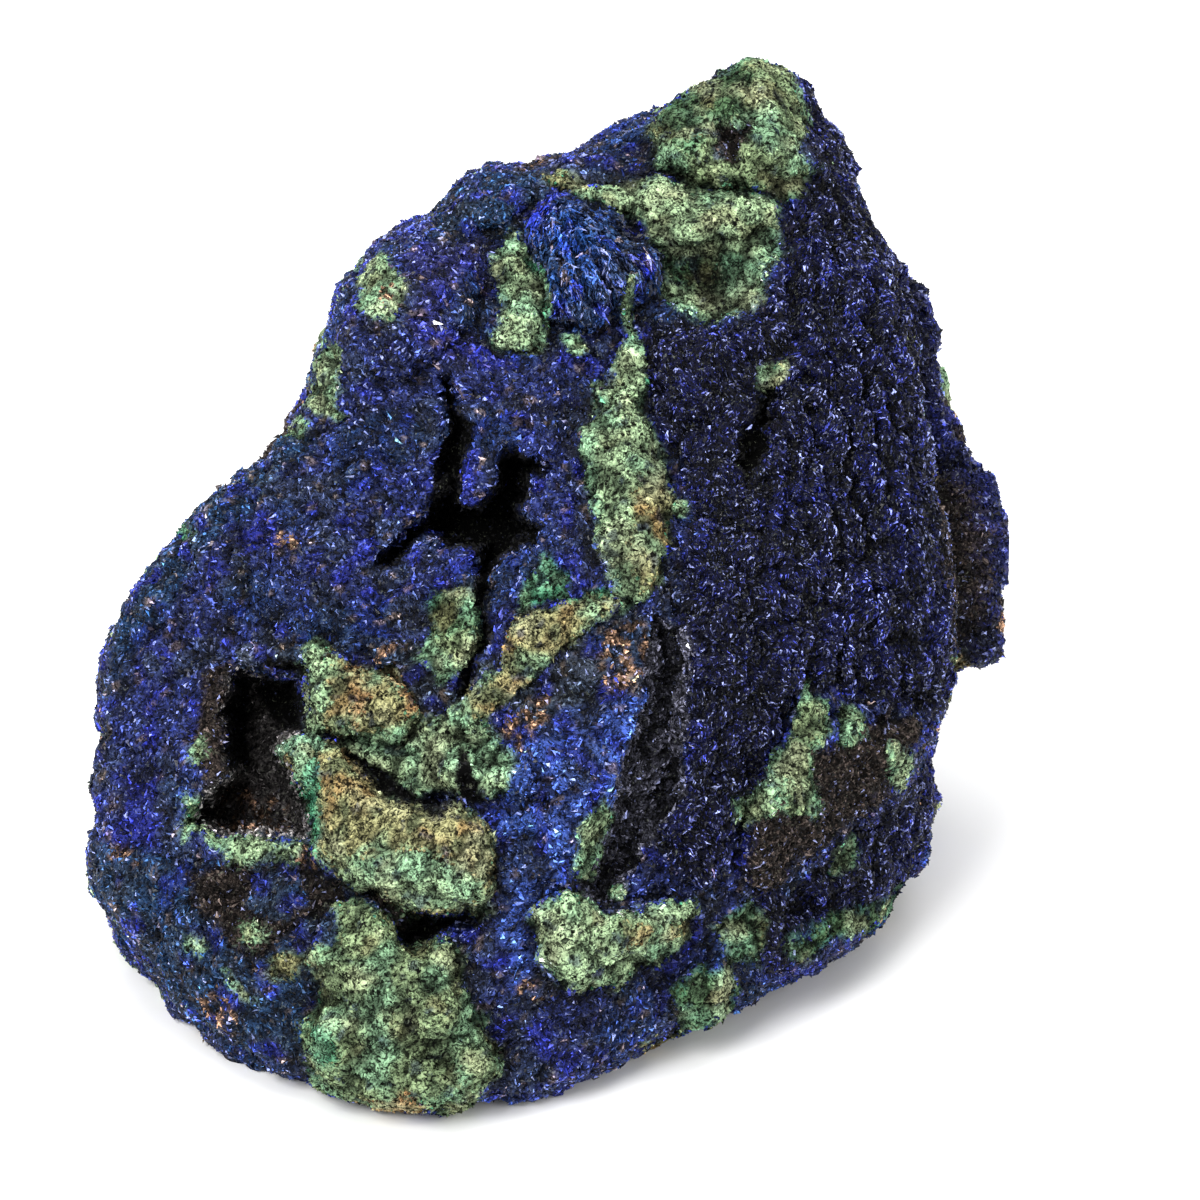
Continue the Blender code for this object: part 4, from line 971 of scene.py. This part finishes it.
def clumps(points, shares):
    """Height of the clumps, and how deep in a crease each point is."""
    size, width = CLUMP_WOBBLE
    bent = points + width * noise_ways(points, size)
    height, crease = np.zeros(len(points)), np.zeros(len(points))
    for level, size in enumerate(CLUMP_SIZES):
        nearest, next_one = cells_at(bent, size)
        tall = sum(share * CLUMP_HEIGHTS[kind][level] for kind, share in shares.items())
        groove = 1.0 - smooth_step(*CREASE, next_one - nearest)
        height += tall * (1.0 - nearest**2 - GROOVE_DEPTH * groove - CLUMP_MEAN)
        crease = np.maximum(crease, groove * np.minimum(tall, 1.0))
    return height, crease


def fine_ribs(places):
    """Wave of the fine ribs on the flank, from -1 to 1."""
    up, across = np.array(FLANK_EDGE[::-1]).T
    inward = np.interp(places[:, 1], up, across) - places[:, 0]
    for size, width in RIB_WANDER:
        inward = inward + width * noise_on_face(places, size, size)
    near, far, faded = RIBS_FADE
    return np.cos(2.0 * math.pi * inward / RIB_PITCH) * (1.0 - faded * smooth_step(near, far, inward))


def dome_fan(places):
    """Wave of the ridges that fan out over the azurite dome, from -1 to 1."""
    across, up = (places - FAN_START).T
    size, level, width = FAN_WANDER
    return np.cos(FAN_RIDGES * np.arctan2(up, across) + width * noise_on_face(places, size, level))


print("clumps of", CLUMP_SIZES, "mm")

# %% Push them out
FAN_EDGE = (0.0, 1.5)
# the fan's ridges get a painted highlight in the tint, and the furrows between them painted shade
FAN_PAINTED_HIGHLIGHT = 0.8
SURFACE_SINK = 0.2
BASE_LEVEL = 0.001
in_face_frame = lay_back(rock_points)
green, flat, flank = (rock_state[:, kind] for kind in (GREEN, FLAT, FLANK))
kind_shares = {"green": green - flat, "flat": flat, "flank": flank * (1.0 - green),
               "face": (1.0 - green) * (1.0 - flank)}
fine, crease = clumps(rock_points, kind_shares)
places = wandering(seen_from_the_front(in_face_frame))
dome_share = smooth_step(*FAN_EDGE, depth_inside(places, RAISED["azurite dome"][2])) * kind_shares["face"]
fan_wave = dome_share * dome_fan(places)
rib_wave = fine_ribs(places) * kind_shares["flank"]
rock_normals = vertex_normals(rock_mesh)
push = fine + FINE_RIB_HEIGHT * rib_wave + FAN_HEIGHT * fan_wave - SURFACE_SINK
push = push * (rock_points[:, 2] > BASE_LEVEL)
rock_points = np.clip(rock_points + rock_normals * push[:, None], BOX_LOW, BOX_HIGH)
rock_mesh.vertices.foreach_set("co", (rock_points * MM).ravel())
rock_mesh.update()
# the wave now also brightens the tint on ridges and darkens it between them: painted highlight and painted
# shade
rib_wave = rib_wave + FAN_PAINTED_HIGHLIGHT * fan_wave
print("fine relief from", push.min().round(2), "to", push.max().round(2), "mm")

# %% [markdown]
# ## Painted shade in the creases, painted highlight on the edges
#
# The eye reads a rock's shape from dark creases and bright edges, so both are painted into its colour here:
# painted shade in the creases, where shade falls, and a painted highlight on the edges. Where a point lies
# deeper than the mean of its neighbourhood, it is in a crease; where it stands out, it is on an edge. Two
# sizes of neighbourhood are used: small ones for the grain, and big ones for the forms. This is measured on
# the mesh, because a shader can't know it from every side.

# %% Find creases and edges
# Rounds of relaxing, millimetres that count as full depth, how much painted shade darkens creases and how
# much painted highlight brightens edges.
NEIGHBOURHOODS = ((6, 0.09, 0.75, 0.24), (60, 0.55, 0.85, 0.16))
# painted shade along the creases between the clumps
CREASE_PAINTED_SHADE = 0.6


def relaxed(points, quads, rounds):
    """The points after moving halfway to the mean of their neighbours, this many times."""
    here = np.concatenate([quads[:, i] for i in range(4)] * 2)
    there = np.concatenate([quads[:, (i + step) % 4] for step in (1, 3) for i in range(4)])
    count = np.bincount(here, minlength=len(points))[:, None]
    for _ in range(rounds):
        sums = [np.bincount(here, points[there, axis], len(points)) for axis in range(3)]
        points = 0.5 * points + 0.5 * np.stack(sums, 1) / count
    return points


rock_normals = vertex_normals(rock_mesh)
# painted shade in the creases and a painted highlight on the edges, as one factor on the colour
crease_shade_and_edge_highlight = 1.0 - CREASE_PAINTED_SHADE * crease
for rounds, full_depth, darkens, brightens in NEIGHBOURHOODS:
    depth = ((relaxed(rock_points, rock_quads, rounds) - rock_points) * rock_normals).sum(1)
    depth = np.clip(depth / full_depth, -1.0, 1.0)
    crease_shade_and_edge_highlight *= np.exp(brightens * np.maximum(-depth, 0.0) - darkens * np.maximum(depth, 0.0))
print("wear from", crease_shade_and_edge_highlight.min().round(2), "to", crease_shade_and_edge_highlight.max().round(2))

# %% Tint of the rock, with painted shade
# The rock shows in the gaps between its crystals, where shade falls, so its tint gets painted shade and is
# darker than they are.
GAP_SHADE = {"face": 0.36, "flank": 0.15, "green": 0.95, "flat": 0.95}
BACK_SHADE = 0.9
BACK_BEGINS = (-0.2, 0.0)
STUDIO_SHARE = 0.8  # the light turns the paper white, so every mineral is set this much darker


def set_tint(mesh, colours, dullness):
    """Stores a colour, and how dull the mineral is, at every point of a mesh."""
    tint = mesh.attributes.new("tint", "FLOAT_COLOR", "POINT")
    tint.data.foreach_set("color", np.column_stack((colours * STUDIO_SHARE, dullness)).ravel())


def dull_share(state):
    """Malachite, earth and the hollows are dull; azurite is glassy."""
    return np.clip(state[:, GREEN] + state[:, EARTH] + state[:, HOLLOW], 0.0, 1.0)


away_from_heart = unit(in_face_frame - HEART)
front_share = smooth_step(*BACK_BEGINS, away_from_heart[:, 2])
gap_shade = sum(share * GAP_SHADE[kind] for kind, share in kind_shares.items())
# the rock's colour times the painted crease shade and edge highlight, and the painted shade of the gaps
rock_tint = rock_state[:, :3] * (crease_shade_and_edge_highlight * (BACK_SHADE + (gap_shade - BACK_SHADE) * front_share))[:, None]
set_tint(rock_mesh, rock_tint, dull_share(rock_state))
print("mean tint", rock_tint.mean(0).round(3))

# %% [markdown]
# ## One crystal, many times
#
# What makes azurite sparkle is thousands of small crystal faces, each turned its own way. A bump map can't
# do that at an edge, and a particle system would not be kept with the model. So here each crystal is a real
# solid with flat faces, and arrays hold all of a kind, so that one mesh takes them in one go. A splinter
# has four faces; a grain has eight and is shaded as rounded.

# %% Shapes and places
SPLINTER = np.array(((0.0, 0.0, 1.0), (0.94, 0.0, -0.33), (-0.47, 0.82, -0.33), (-0.47, -0.82, -0.33)))
SPLINTER_FACES = np.array(((0, 1, 2), (0, 2, 3), (0, 3, 1), (1, 3, 2)))
GRAIN = np.array(((0, 0, 1), (1, 0, 0), (0, 1, 0), (-1, 0, 0), (0, -1, 0), (0, 0, -1)), float)
GRAIN_FACES = np.array(((0, 1, 2), (0, 2, 3), (0, 3, 4), (0, 4, 1),
                        (5, 2, 1), (5, 3, 2), (5, 4, 3), (5, 1, 4)))
# How much the corners of a crystal vary, and how much it strays from the way that it is given.
STRETCH, SHIFT, SIDE_SPREAD = 0.25, 0.125, 0.35
rock_triangles = np.concatenate((rock_quads[:, (0, 1, 2)], rock_quads[:, (0, 2, 3)]))


def scatter(count, wanted, rng):
    """Places on the rock, evenly spread by area times wanted, with their normals, painted shade and
    highlight, and rib wave.
    """
    corners = rock_points[rock_triangles]
    area = np.linalg.norm(np.cross(corners[:, 1] - corners[:, 0], corners[:, 2] - corners[:, 0]), axis=1)
    running = np.cumsum(area * wanted[rock_triangles].mean(1))
    picked = np.searchsorted(running, (np.arange(count) + rng.random(count)) / count * running[-1])
    a, b = rng.random((2, count, 1))
    a, b = np.where(a + b > 1.0, (1.0 - a, 1.0 - b), (a, b))
    shares = np.stack((1.0 - a - b, a, b), 1)
    known = np.column_stack((rock_points, rock_normals, crease_shade_and_edge_highlight, rib_wave))
    found = (known[rock_triangles[np.minimum(picked, len(rock_triangles) - 1)]] * shares).sum(1)
    return found[:, :3], unit(found[:, 3:6]), found[:, 6:7], found[:, 7:8]


def crystals(shape, places, normals, sizes, lean, rng, ways=None):
    """Corners of one crystal for each place; sizes are its halves along its way, across and outwards."""
    axis = unit(normals + lean * rng.normal(size=normals.shape))
    side = rng.normal(size=normals.shape)
    if ways is not None:
        side = ways + SIDE_SPREAD * side
    side = unit(side - axis * (side * axis).sum(1)[:, None])
    frames = np.stack((side, np.cross(axis, side), axis), 1)
    shapes = shape * (1.0 + STRETCH * rng.normal(size=(len(places), len(shape), 3)))
    shapes = shapes + SHIFT * rng.normal(size=(len(places), len(shape), 3))
    return places[:, None] + np.einsum("nck,nkx->ncx", shapes * sizes[:, None], frames)


print("a splinter has", len(SPLINTER_FACES), "faces and a grain", len(GRAIN_FACES))

# %% One mesh for all crystals of a kind
# Each crystal has a square cell on the sheet, and its triangles take turns in the two halves of it.
CELL_HALVES = (((0.1, 0.1), (0.8, 0.1), (0.1, 0.8)), ((0.9, 0.9), (0.2, 0.9), (0.9, 0.2)))


def lay_out(mesh, corners):
    """Lays a mesh out on a flat sheet, for when the colours are kept as a picture."""
    mesh.uv_layers.new(name="OFBake").data.foreach_set("uv", np.asarray(corners, np.float32).ravel())


def grain_piece(name, corners, shape_faces, tint, dullness):
    """One object that holds all crystals of a kind."""
    count, each = corners.shape[:2]
    faces = (shape_faces[None] + each * np.arange(count)[:, None, None]).reshape(-1, 3)
    mesh = new_mesh(name, np.clip(corners.reshape(-1, 3), BOX_LOW, BOX_HIGH), faces)
    set_tint(mesh, np.repeat(tint, each, 0), np.repeat(dullness, each))
    row = math.ceil(math.sqrt(count))
    cell = np.stack(np.divmod(np.arange(count), row), 1)[:, None, None]
    halves = np.array([CELL_HALVES[i % 2] for i in range(len(shape_faces))])
    lay_out(mesh, (cell + halves[None]) / row)
    piece = bpy.data.objects.new(name, mesh)
    bpy.context.scene.collection.objects.link(piece)
    print(name, count, "crystals,", len(faces), "triangles")
    return piece


print("each crystal has its own cell on the sheet, in", len(CELL_HALVES), "halves")

# %% Where each kind grows
BASE_CLEAR = 0.3  # no crystals this near the ground, so that the rock stands flat
HOLLOW_BARE, DOME_BARE, BACK_THIN = 0.6, 0.85, 0.12
clear = smooth_step(BASE_CLEAR, 2.0 * BASE_CLEAR, rock_points[:, 2])
blue_share = clear * (1.0 - green) * (1.0 - HOLLOW_BARE * rock_state[:, HOLLOW])
front_blue = blue_share * front_share
face_wanted = front_blue * (1.0 - flank) * (1.0 - DOME_BARE * dome_share)
grain_share = clear * (BACK_THIN + (1.0 - BACK_THIN) * front_share)
earth_wanted = grain_share * rock_state[:, EARTH] * (1.0 - green)
print("blue in front and behind:", front_blue.mean().round(2), (blue_share - front_blue).mean().round(2))

# %% Grow one kind
# A share of the crystals is tinted pale as a painted glint, in place of the sparkle of lit crystal faces.
GLINT_CRYSTAL_TINT = paint(158, 168, 226)
GLINT_CRYSTAL_MIX = (0.15, 0.85)
# dark crystals are painted shade: the shade between the blades
SHADED_CRYSTAL = 0.07  # a dark crystal keeps this share of its colour
SETTLING = (0.3, 0.4)  # crystals take the commoner mineral of their place more often than chance would
# crystals on a rib get a painted highlight, and those between the ribs painted shade
RIB_PAINTED_HIGHLIGHT = 0.6
SIZE_POWER, SIZE_SPREAD = 1.5, (0.8, 1.25)  # small crystals are commoner, and each has its own slimness
BRIGHTEST = 0.9


def grow(name, shape, faces, count, wanted, sizes, lean, lift, seed, looks, ways=None):
    """Grows one kind of crystal on the rock.

    sizes: smallest and largest extent along its way, across it and outwards, in millimetres
    lean, lift: how far it tilts from the rock's normal, and how far it is moved out of the rock
    looks: the shares of crystals with a painted glint and with painted shade, and the spread of their
    brightness
    """
    rng = np.random.default_rng(seed)
    glint_share, shaded_share, spread = looks
    # each crystal takes the painted crease shade and edge highlight of the rock where it stands
    places, normals, shade_and_highlight_here, ribs = scatter(count, wanted, rng)
    low, high = np.array(sizes) / 2.0
    size = low + (high - low) * rng.random((count, 1)) ** SIZE_POWER
    size = size * rng.uniform(*SIZE_SPREAD, (count, 3))
    rooted = places + normals * (lift * size[:, 2:])
    corners = crystals(shape, rooted, normals, size, lean, rng, ways(places) if ways else None)
    state = mineral_state(places, normals, SETTLING[0] + SETTLING[1] * rng.random(count))
    # random tone, times a painted highlight on the ribs and painted shade between them
    tint = state[:, :3] * np.exp(spread * rng.normal(size=(count, 1)) + RIB_PAINTED_HIGHLIGHT * ribs)
    # pale crystals are painted glints, more of them on the ribs; dark ones are painted shade
    chance = rng.random((count, 1))
    pale = tint + (GLINT_CRYSTAL_TINT - tint) * rng.uniform(*GLINT_CRYSTAL_MIX, (count, 1))
    tint = np.where(chance < glint_share * (1.0 + ribs) * (1.0 - state[:, HOLLOW:HOLLOW + 1]), pale, tint)
    tint = np.where(chance > 1.0 - shaded_share, tint * SHADED_CRYSTAL, tint) * shade_and_highlight_here
    return grain_piece(name, corners, faces, np.clip(tint, 0.0, BRIGHTEST), dull_share(state))


print("sizes from", SIZE_SPREAD[0], "to", SIZE_SPREAD[1], "times the drawn one")

# %% [markdown]
# ## Azurite of the display face
#
# The left of the face is a felt of azurite splinters, half a millimetre long, that lie in swirls. They
# could each get a random turn, but then the felt looks like sand. So noise that changes slowly from place
# to place gives each splinter its way.

# %% Splinters in swirls
CURL_SIZE = 2.6


def curling(places):
    """A way for each crystal that changes slowly from place to place, so that they lie in swirls."""
    return unit(noise_ways(places, CURL_SIZE))


face_crystals = grow("azurite_face", SPLINTER, SPLINTER_FACES, 48000, face_wanted,
                     sizes=((0.3, 0.14, 0.16), (0.95, 0.34, 0.4)), lean=0.4, lift=-0.1, seed=11,
                     looks=(0.09, 0.34, 0.66), ways=curling)

# %% [markdown]
# ## Blades of the dome
#
# The azurite dome is a fan of long, thin blades that start behind its top. Curves with a bevel would give
# combed fibres, but thousands of them are too heavy. Long splinters that all point away from the start of
# the fan look much the same at this size.

# %% Blades that fan out
def down_the_fan(places):
    """The way in which each blade of the dome points: away from where the fan starts."""
    away = lay_back(places)[:, :2] - FAN_START
    return unit(stand_up(np.column_stack((away, np.zeros(len(away))))) - FACE_MIDDLE)


fan_crystals = grow("azurite_fan", SPLINTER, SPLINTER_FACES, 7000, front_blue * dome_share,
                    sizes=((0.7, 0.1, 0.2), (1.5, 0.22, 0.5)), lean=0.25, lift=0.0, seed=16,
                    looks=(0.06, 0.42, 0.5), ways=down_the_fan)

# %% [markdown]
# ## Druse of the flank
#
# The dark flank is a druse: a carpet of tiny blades along ribs that run down it. The blades are smaller
# than those of the face and follow the ribs, with some swirl. Their tint gets a painted highlight on the
# ribs and painted shade between them.

# %% Blades along the ribs
DOWN_THE_RIBS, FLANK_SWIRL = np.array((0.1, -0.5, -1.0)), 0.9


def down_the_flank(places):
    """The way in which the blades of the flank point: down along its ribs, with some swirl."""
    return unit(DOWN_THE_RIBS + FLANK_SWIRL * curling(places))


flank_crystals = grow("azurite_flank", SPLINTER, SPLINTER_FACES, 48000, front_blue * flank,
                      sizes=((0.3, 0.09, 0.14), (0.75, 0.18, 0.32)), lean=0.4, lift=0.0, seed=12,
                      looks=(0.15, 0.48, 0.65), ways=down_the_flank)

# %% [markdown]
# ## Azurite of the back
#
# Nobody sees the back in the photograph. It gets the same azurite in bigger splinters, so that fewer of
# them cover more rock.

# %% Splinters behind
back_crystals = grow("azurite_back", SPLINTER, SPLINTER_FACES, 40000, blue_share * (1.0 - front_share),
                     sizes=((0.3, 0.4, 0.25), (0.75, 0.85, 0.5)), lean=0.5, lift=-0.1, seed=13,
                     looks=(0.1, 0.3, 0.5))

# %% [markdown]
# ## Malachite grains
#
# Malachite grows in velvety crusts of tiny round grains. A grain here is an octahedron with jittered
# corners, shaded as rounded: eight faces do the work of a small sphere.

# %% Grains on the green patches
malachite_grains = grow("malachite_grains", GRAIN, GRAIN_FACES, 22000, grain_share * green,
                        sizes=((0.2, 0.26, 0.18), (0.42, 0.6, 0.34)), lean=0.5, lift=0.0, seed=14,
                        looks=(0.0, 0.12, 0.25))
malachite_grains.data.polygons.foreach_set("use_smooth", [True] * len(malachite_grains.data.polygons))
print("malachite grains are shaded as rounded")

# %% [markdown]
# ## Iron oxide grains
#
# Rusty earth fills the seam, the floors of the hollows and the lower right. It is crumbly, so its grains
# have the same eight faces but keep their edges.

# %% Grains on the earth
rust_grains = grow("iron_oxide_grains", GRAIN, GRAIN_FACES, 5000, earth_wanted,
                   sizes=((0.2, 0.2, 0.14), (0.5, 0.5, 0.3)), lean=0.6, lift=0.0, seed=15,
                   looks=(0.03, 0.2, 0.35))

# %% [markdown]
# ## Finishes
#
# Azurite is glassy and malachite crusts are dull. Each finish could have its own colours, but the minerals
# blend, so all finishes read the tint that is stored at each point. Fine noise, bent into worm-like shapes,
# then darkens the pits with painted shade and lightens the ridges with a painted highlight, with a bump to
# match: the cork-like grain of malachite and the sugary one of azurite. The shine comes from the crystal
# faces and from these painted highlights.

# %% Materials
STONE_IOR = 1.6
WORMS = {"Detail": 2.5, "Roughness": 0.65, "Distortion": 1.0}
# painted shade in the pits, a painted highlight on the ridges, and a paler painted highlight on their tops
PITS_TO_RIDGES, RIDGE_TOPS = (0.38, 0.62), (0.6, 0.72)  # the noise where each starts and is full


def map_range(nodes, links, source, source_range, low, high):
    """A node that maps a value from one range to another with soft ends."""
    node = nodes.new("ShaderNodeMapRange")
    node.interpolation_type = "SMOOTHSTEP"
    for label, value in zip(("From Min", "From Max", "To Min", "To Max"), (*source_range, low, high)):
        node.inputs[label].default_value = value
    links.new(source, node.inputs["Value"])
    return node.outputs["Result"]


def stone_material(name, glassy, dull, shine, pits, ridges, pale_share, bump, light, pitch):
    """A mineral with its tint, painted shade in its pits and a painted highlight on its ridges; pitch is
    millimetres from ridge to ridge.
    """
    material = bpy.data.materials.new(name)
    material.use_nodes = True
    nodes, links = material.node_tree.nodes, material.node_tree.links
    shader = nodes["Principled BSDF"]
    tint = nodes.new("ShaderNodeAttribute")
    tint.attribute_name = "tint"
    place = nodes.new("ShaderNodeTexCoord")
    worms = nodes.new("ShaderNodeTexNoise")
    worms.inputs["Scale"].default_value = 1.0 / (pitch * MM)
    for label, value in WORMS.items():
        worms.inputs[label].default_value = value
    links.new(place.outputs["Object"], worms.inputs["Vector"])
    varied = nodes.new("ShaderNodeVectorMath")
    varied.operation = "SCALE"
    links.new(tint.outputs["Color"], varied.inputs[0])
    # painted shade in the pits and a painted highlight on the ridges
    brightness = map_range(nodes, links, worms.outputs["Fac"], PITS_TO_RIDGES, pits, ridges)
    links.new(brightness, varied.inputs["Scale"])
    whitened = nodes.new("ShaderNodeMix")
    whitened.data_type = "RGBA"
    whitened.inputs["B"].default_value = (*light, 1.0)
    # the ridge tops get a paler painted highlight
    pale = map_range(nodes, links, worms.outputs["Fac"], RIDGE_TOPS, 0.0, pale_share)
    links.new(pale, whitened.inputs["Factor"])
    links.new(varied.outputs["Vector"], whitened.inputs["A"])
    links.new(whitened.outputs["Result"], shader.inputs["Base Color"])
    roughness = map_range(nodes, links, tint.outputs["Alpha"], (0.0, 1.0), glassy, dull)
    links.new(roughness, shader.inputs["Roughness"])
    relief = nodes.new("ShaderNodeBump")
    relief.inputs["Strength"].default_value = bump
    relief.inputs["Distance"].default_value = 0.5 * pitch * MM
    links.new(worms.outputs["Fac"], relief.inputs["Height"])
    links.new(relief.outputs["Normal"], shader.inputs["Normal"])
    shader.inputs["IOR"].default_value = STONE_IOR
    shader.inputs["Specular IOR Level"].default_value = shine
    return material


print("worm-like noise with", WORMS)

# %% Three finishes
# pale tints of the ridge tops: a painted glint on the azurite crystals, a painted highlight on the crusts
GLINT, RIDGE_HIGHLIGHT_TINT = paint(128, 142, 214), paint(196, 204, 176)
crust = stone_material("azurite_crust", glassy=0.5, dull=0.9, shine=0.06, pits=0.08, ridges=1.7,
                       pale_share=0.15, bump=1.0, light=RIDGE_HIGHLIGHT_TINT, pitch=0.34)
crystal = stone_material("azurite_crystal", glassy=0.3, dull=0.8, shine=0.2, pits=0.35, ridges=2.1,
                         pale_share=0.25, bump=0.3, light=GLINT, pitch=0.3)
velvet = stone_material("malachite_velvet", glassy=0.8, dull=0.9, shine=0.06, pits=0.12, ridges=1.6,
                        pale_share=0.12, bump=1.0, light=RIDGE_HIGHLIGHT_TINT, pitch=0.34)
print("finishes:", crust.name, crystal.name, velvet.name)

# %% [markdown]
# ## Putting it on the frame
#
# The rock is the body that the crystals stand on. Its six grids are laid out flat, side by side, so that
# its colours can be kept as a picture later. Each piece then gets its finish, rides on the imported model's
# body and takes the place of the plain solid.

# %% The rock's own sheet
SHEET_COLUMNS, SHEET_ROWS, SHEET_MARGIN = 3, 2, 0.01
rock = bpy.data.objects.new("azurite_body", rock_mesh)
bpy.context.scene.collection.objects.link(rock)
rock_mesh.polygons.foreach_set("use_smooth", [True] * len(rock_mesh.polygons))
grids = (SHEET_COLUMNS * SHEET_ROWS, GRID_CELLS, GRID_CELLS)
side, across, up = np.unravel_index(np.arange(len(rock_quads)), grids)
quad_corners = np.array(((0, 0), (1, 0), (1, 1), (0, 1)))
in_side = (np.stack((across, up), 1)[:, None] + quad_corners) / GRID_CELLS
in_side = in_side * (1.0 - 2.0 * SHEET_MARGIN) + SHEET_MARGIN
side_corner = np.stack((side % SHEET_COLUMNS, side // SHEET_COLUMNS), 1)[:, None]
lay_out(rock_mesh, (side_corner + in_side) / (SHEET_COLUMNS, SHEET_ROWS))
print("a sheet of", SHEET_COLUMNS, "by", SHEET_ROWS, "sides")

# %% Finish and place every piece
DRESSING = (
    (rock, crust, "azurite"), (face_crystals, crystal, "azurite"), (flank_crystals, crystal, "azurite"),
    (fan_crystals, crystal, "azurite"), (back_crystals, crystal, "azurite"),
    (malachite_grains, velvet, "malachite"), (rust_grains, velvet, "iron_oxide"),
)
for piece, finish, slot in DRESSING:
    piece.data.materials.append(finish)
    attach(piece, "root")
    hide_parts("azurite_rock")
print(len(DRESSING), "pieces")
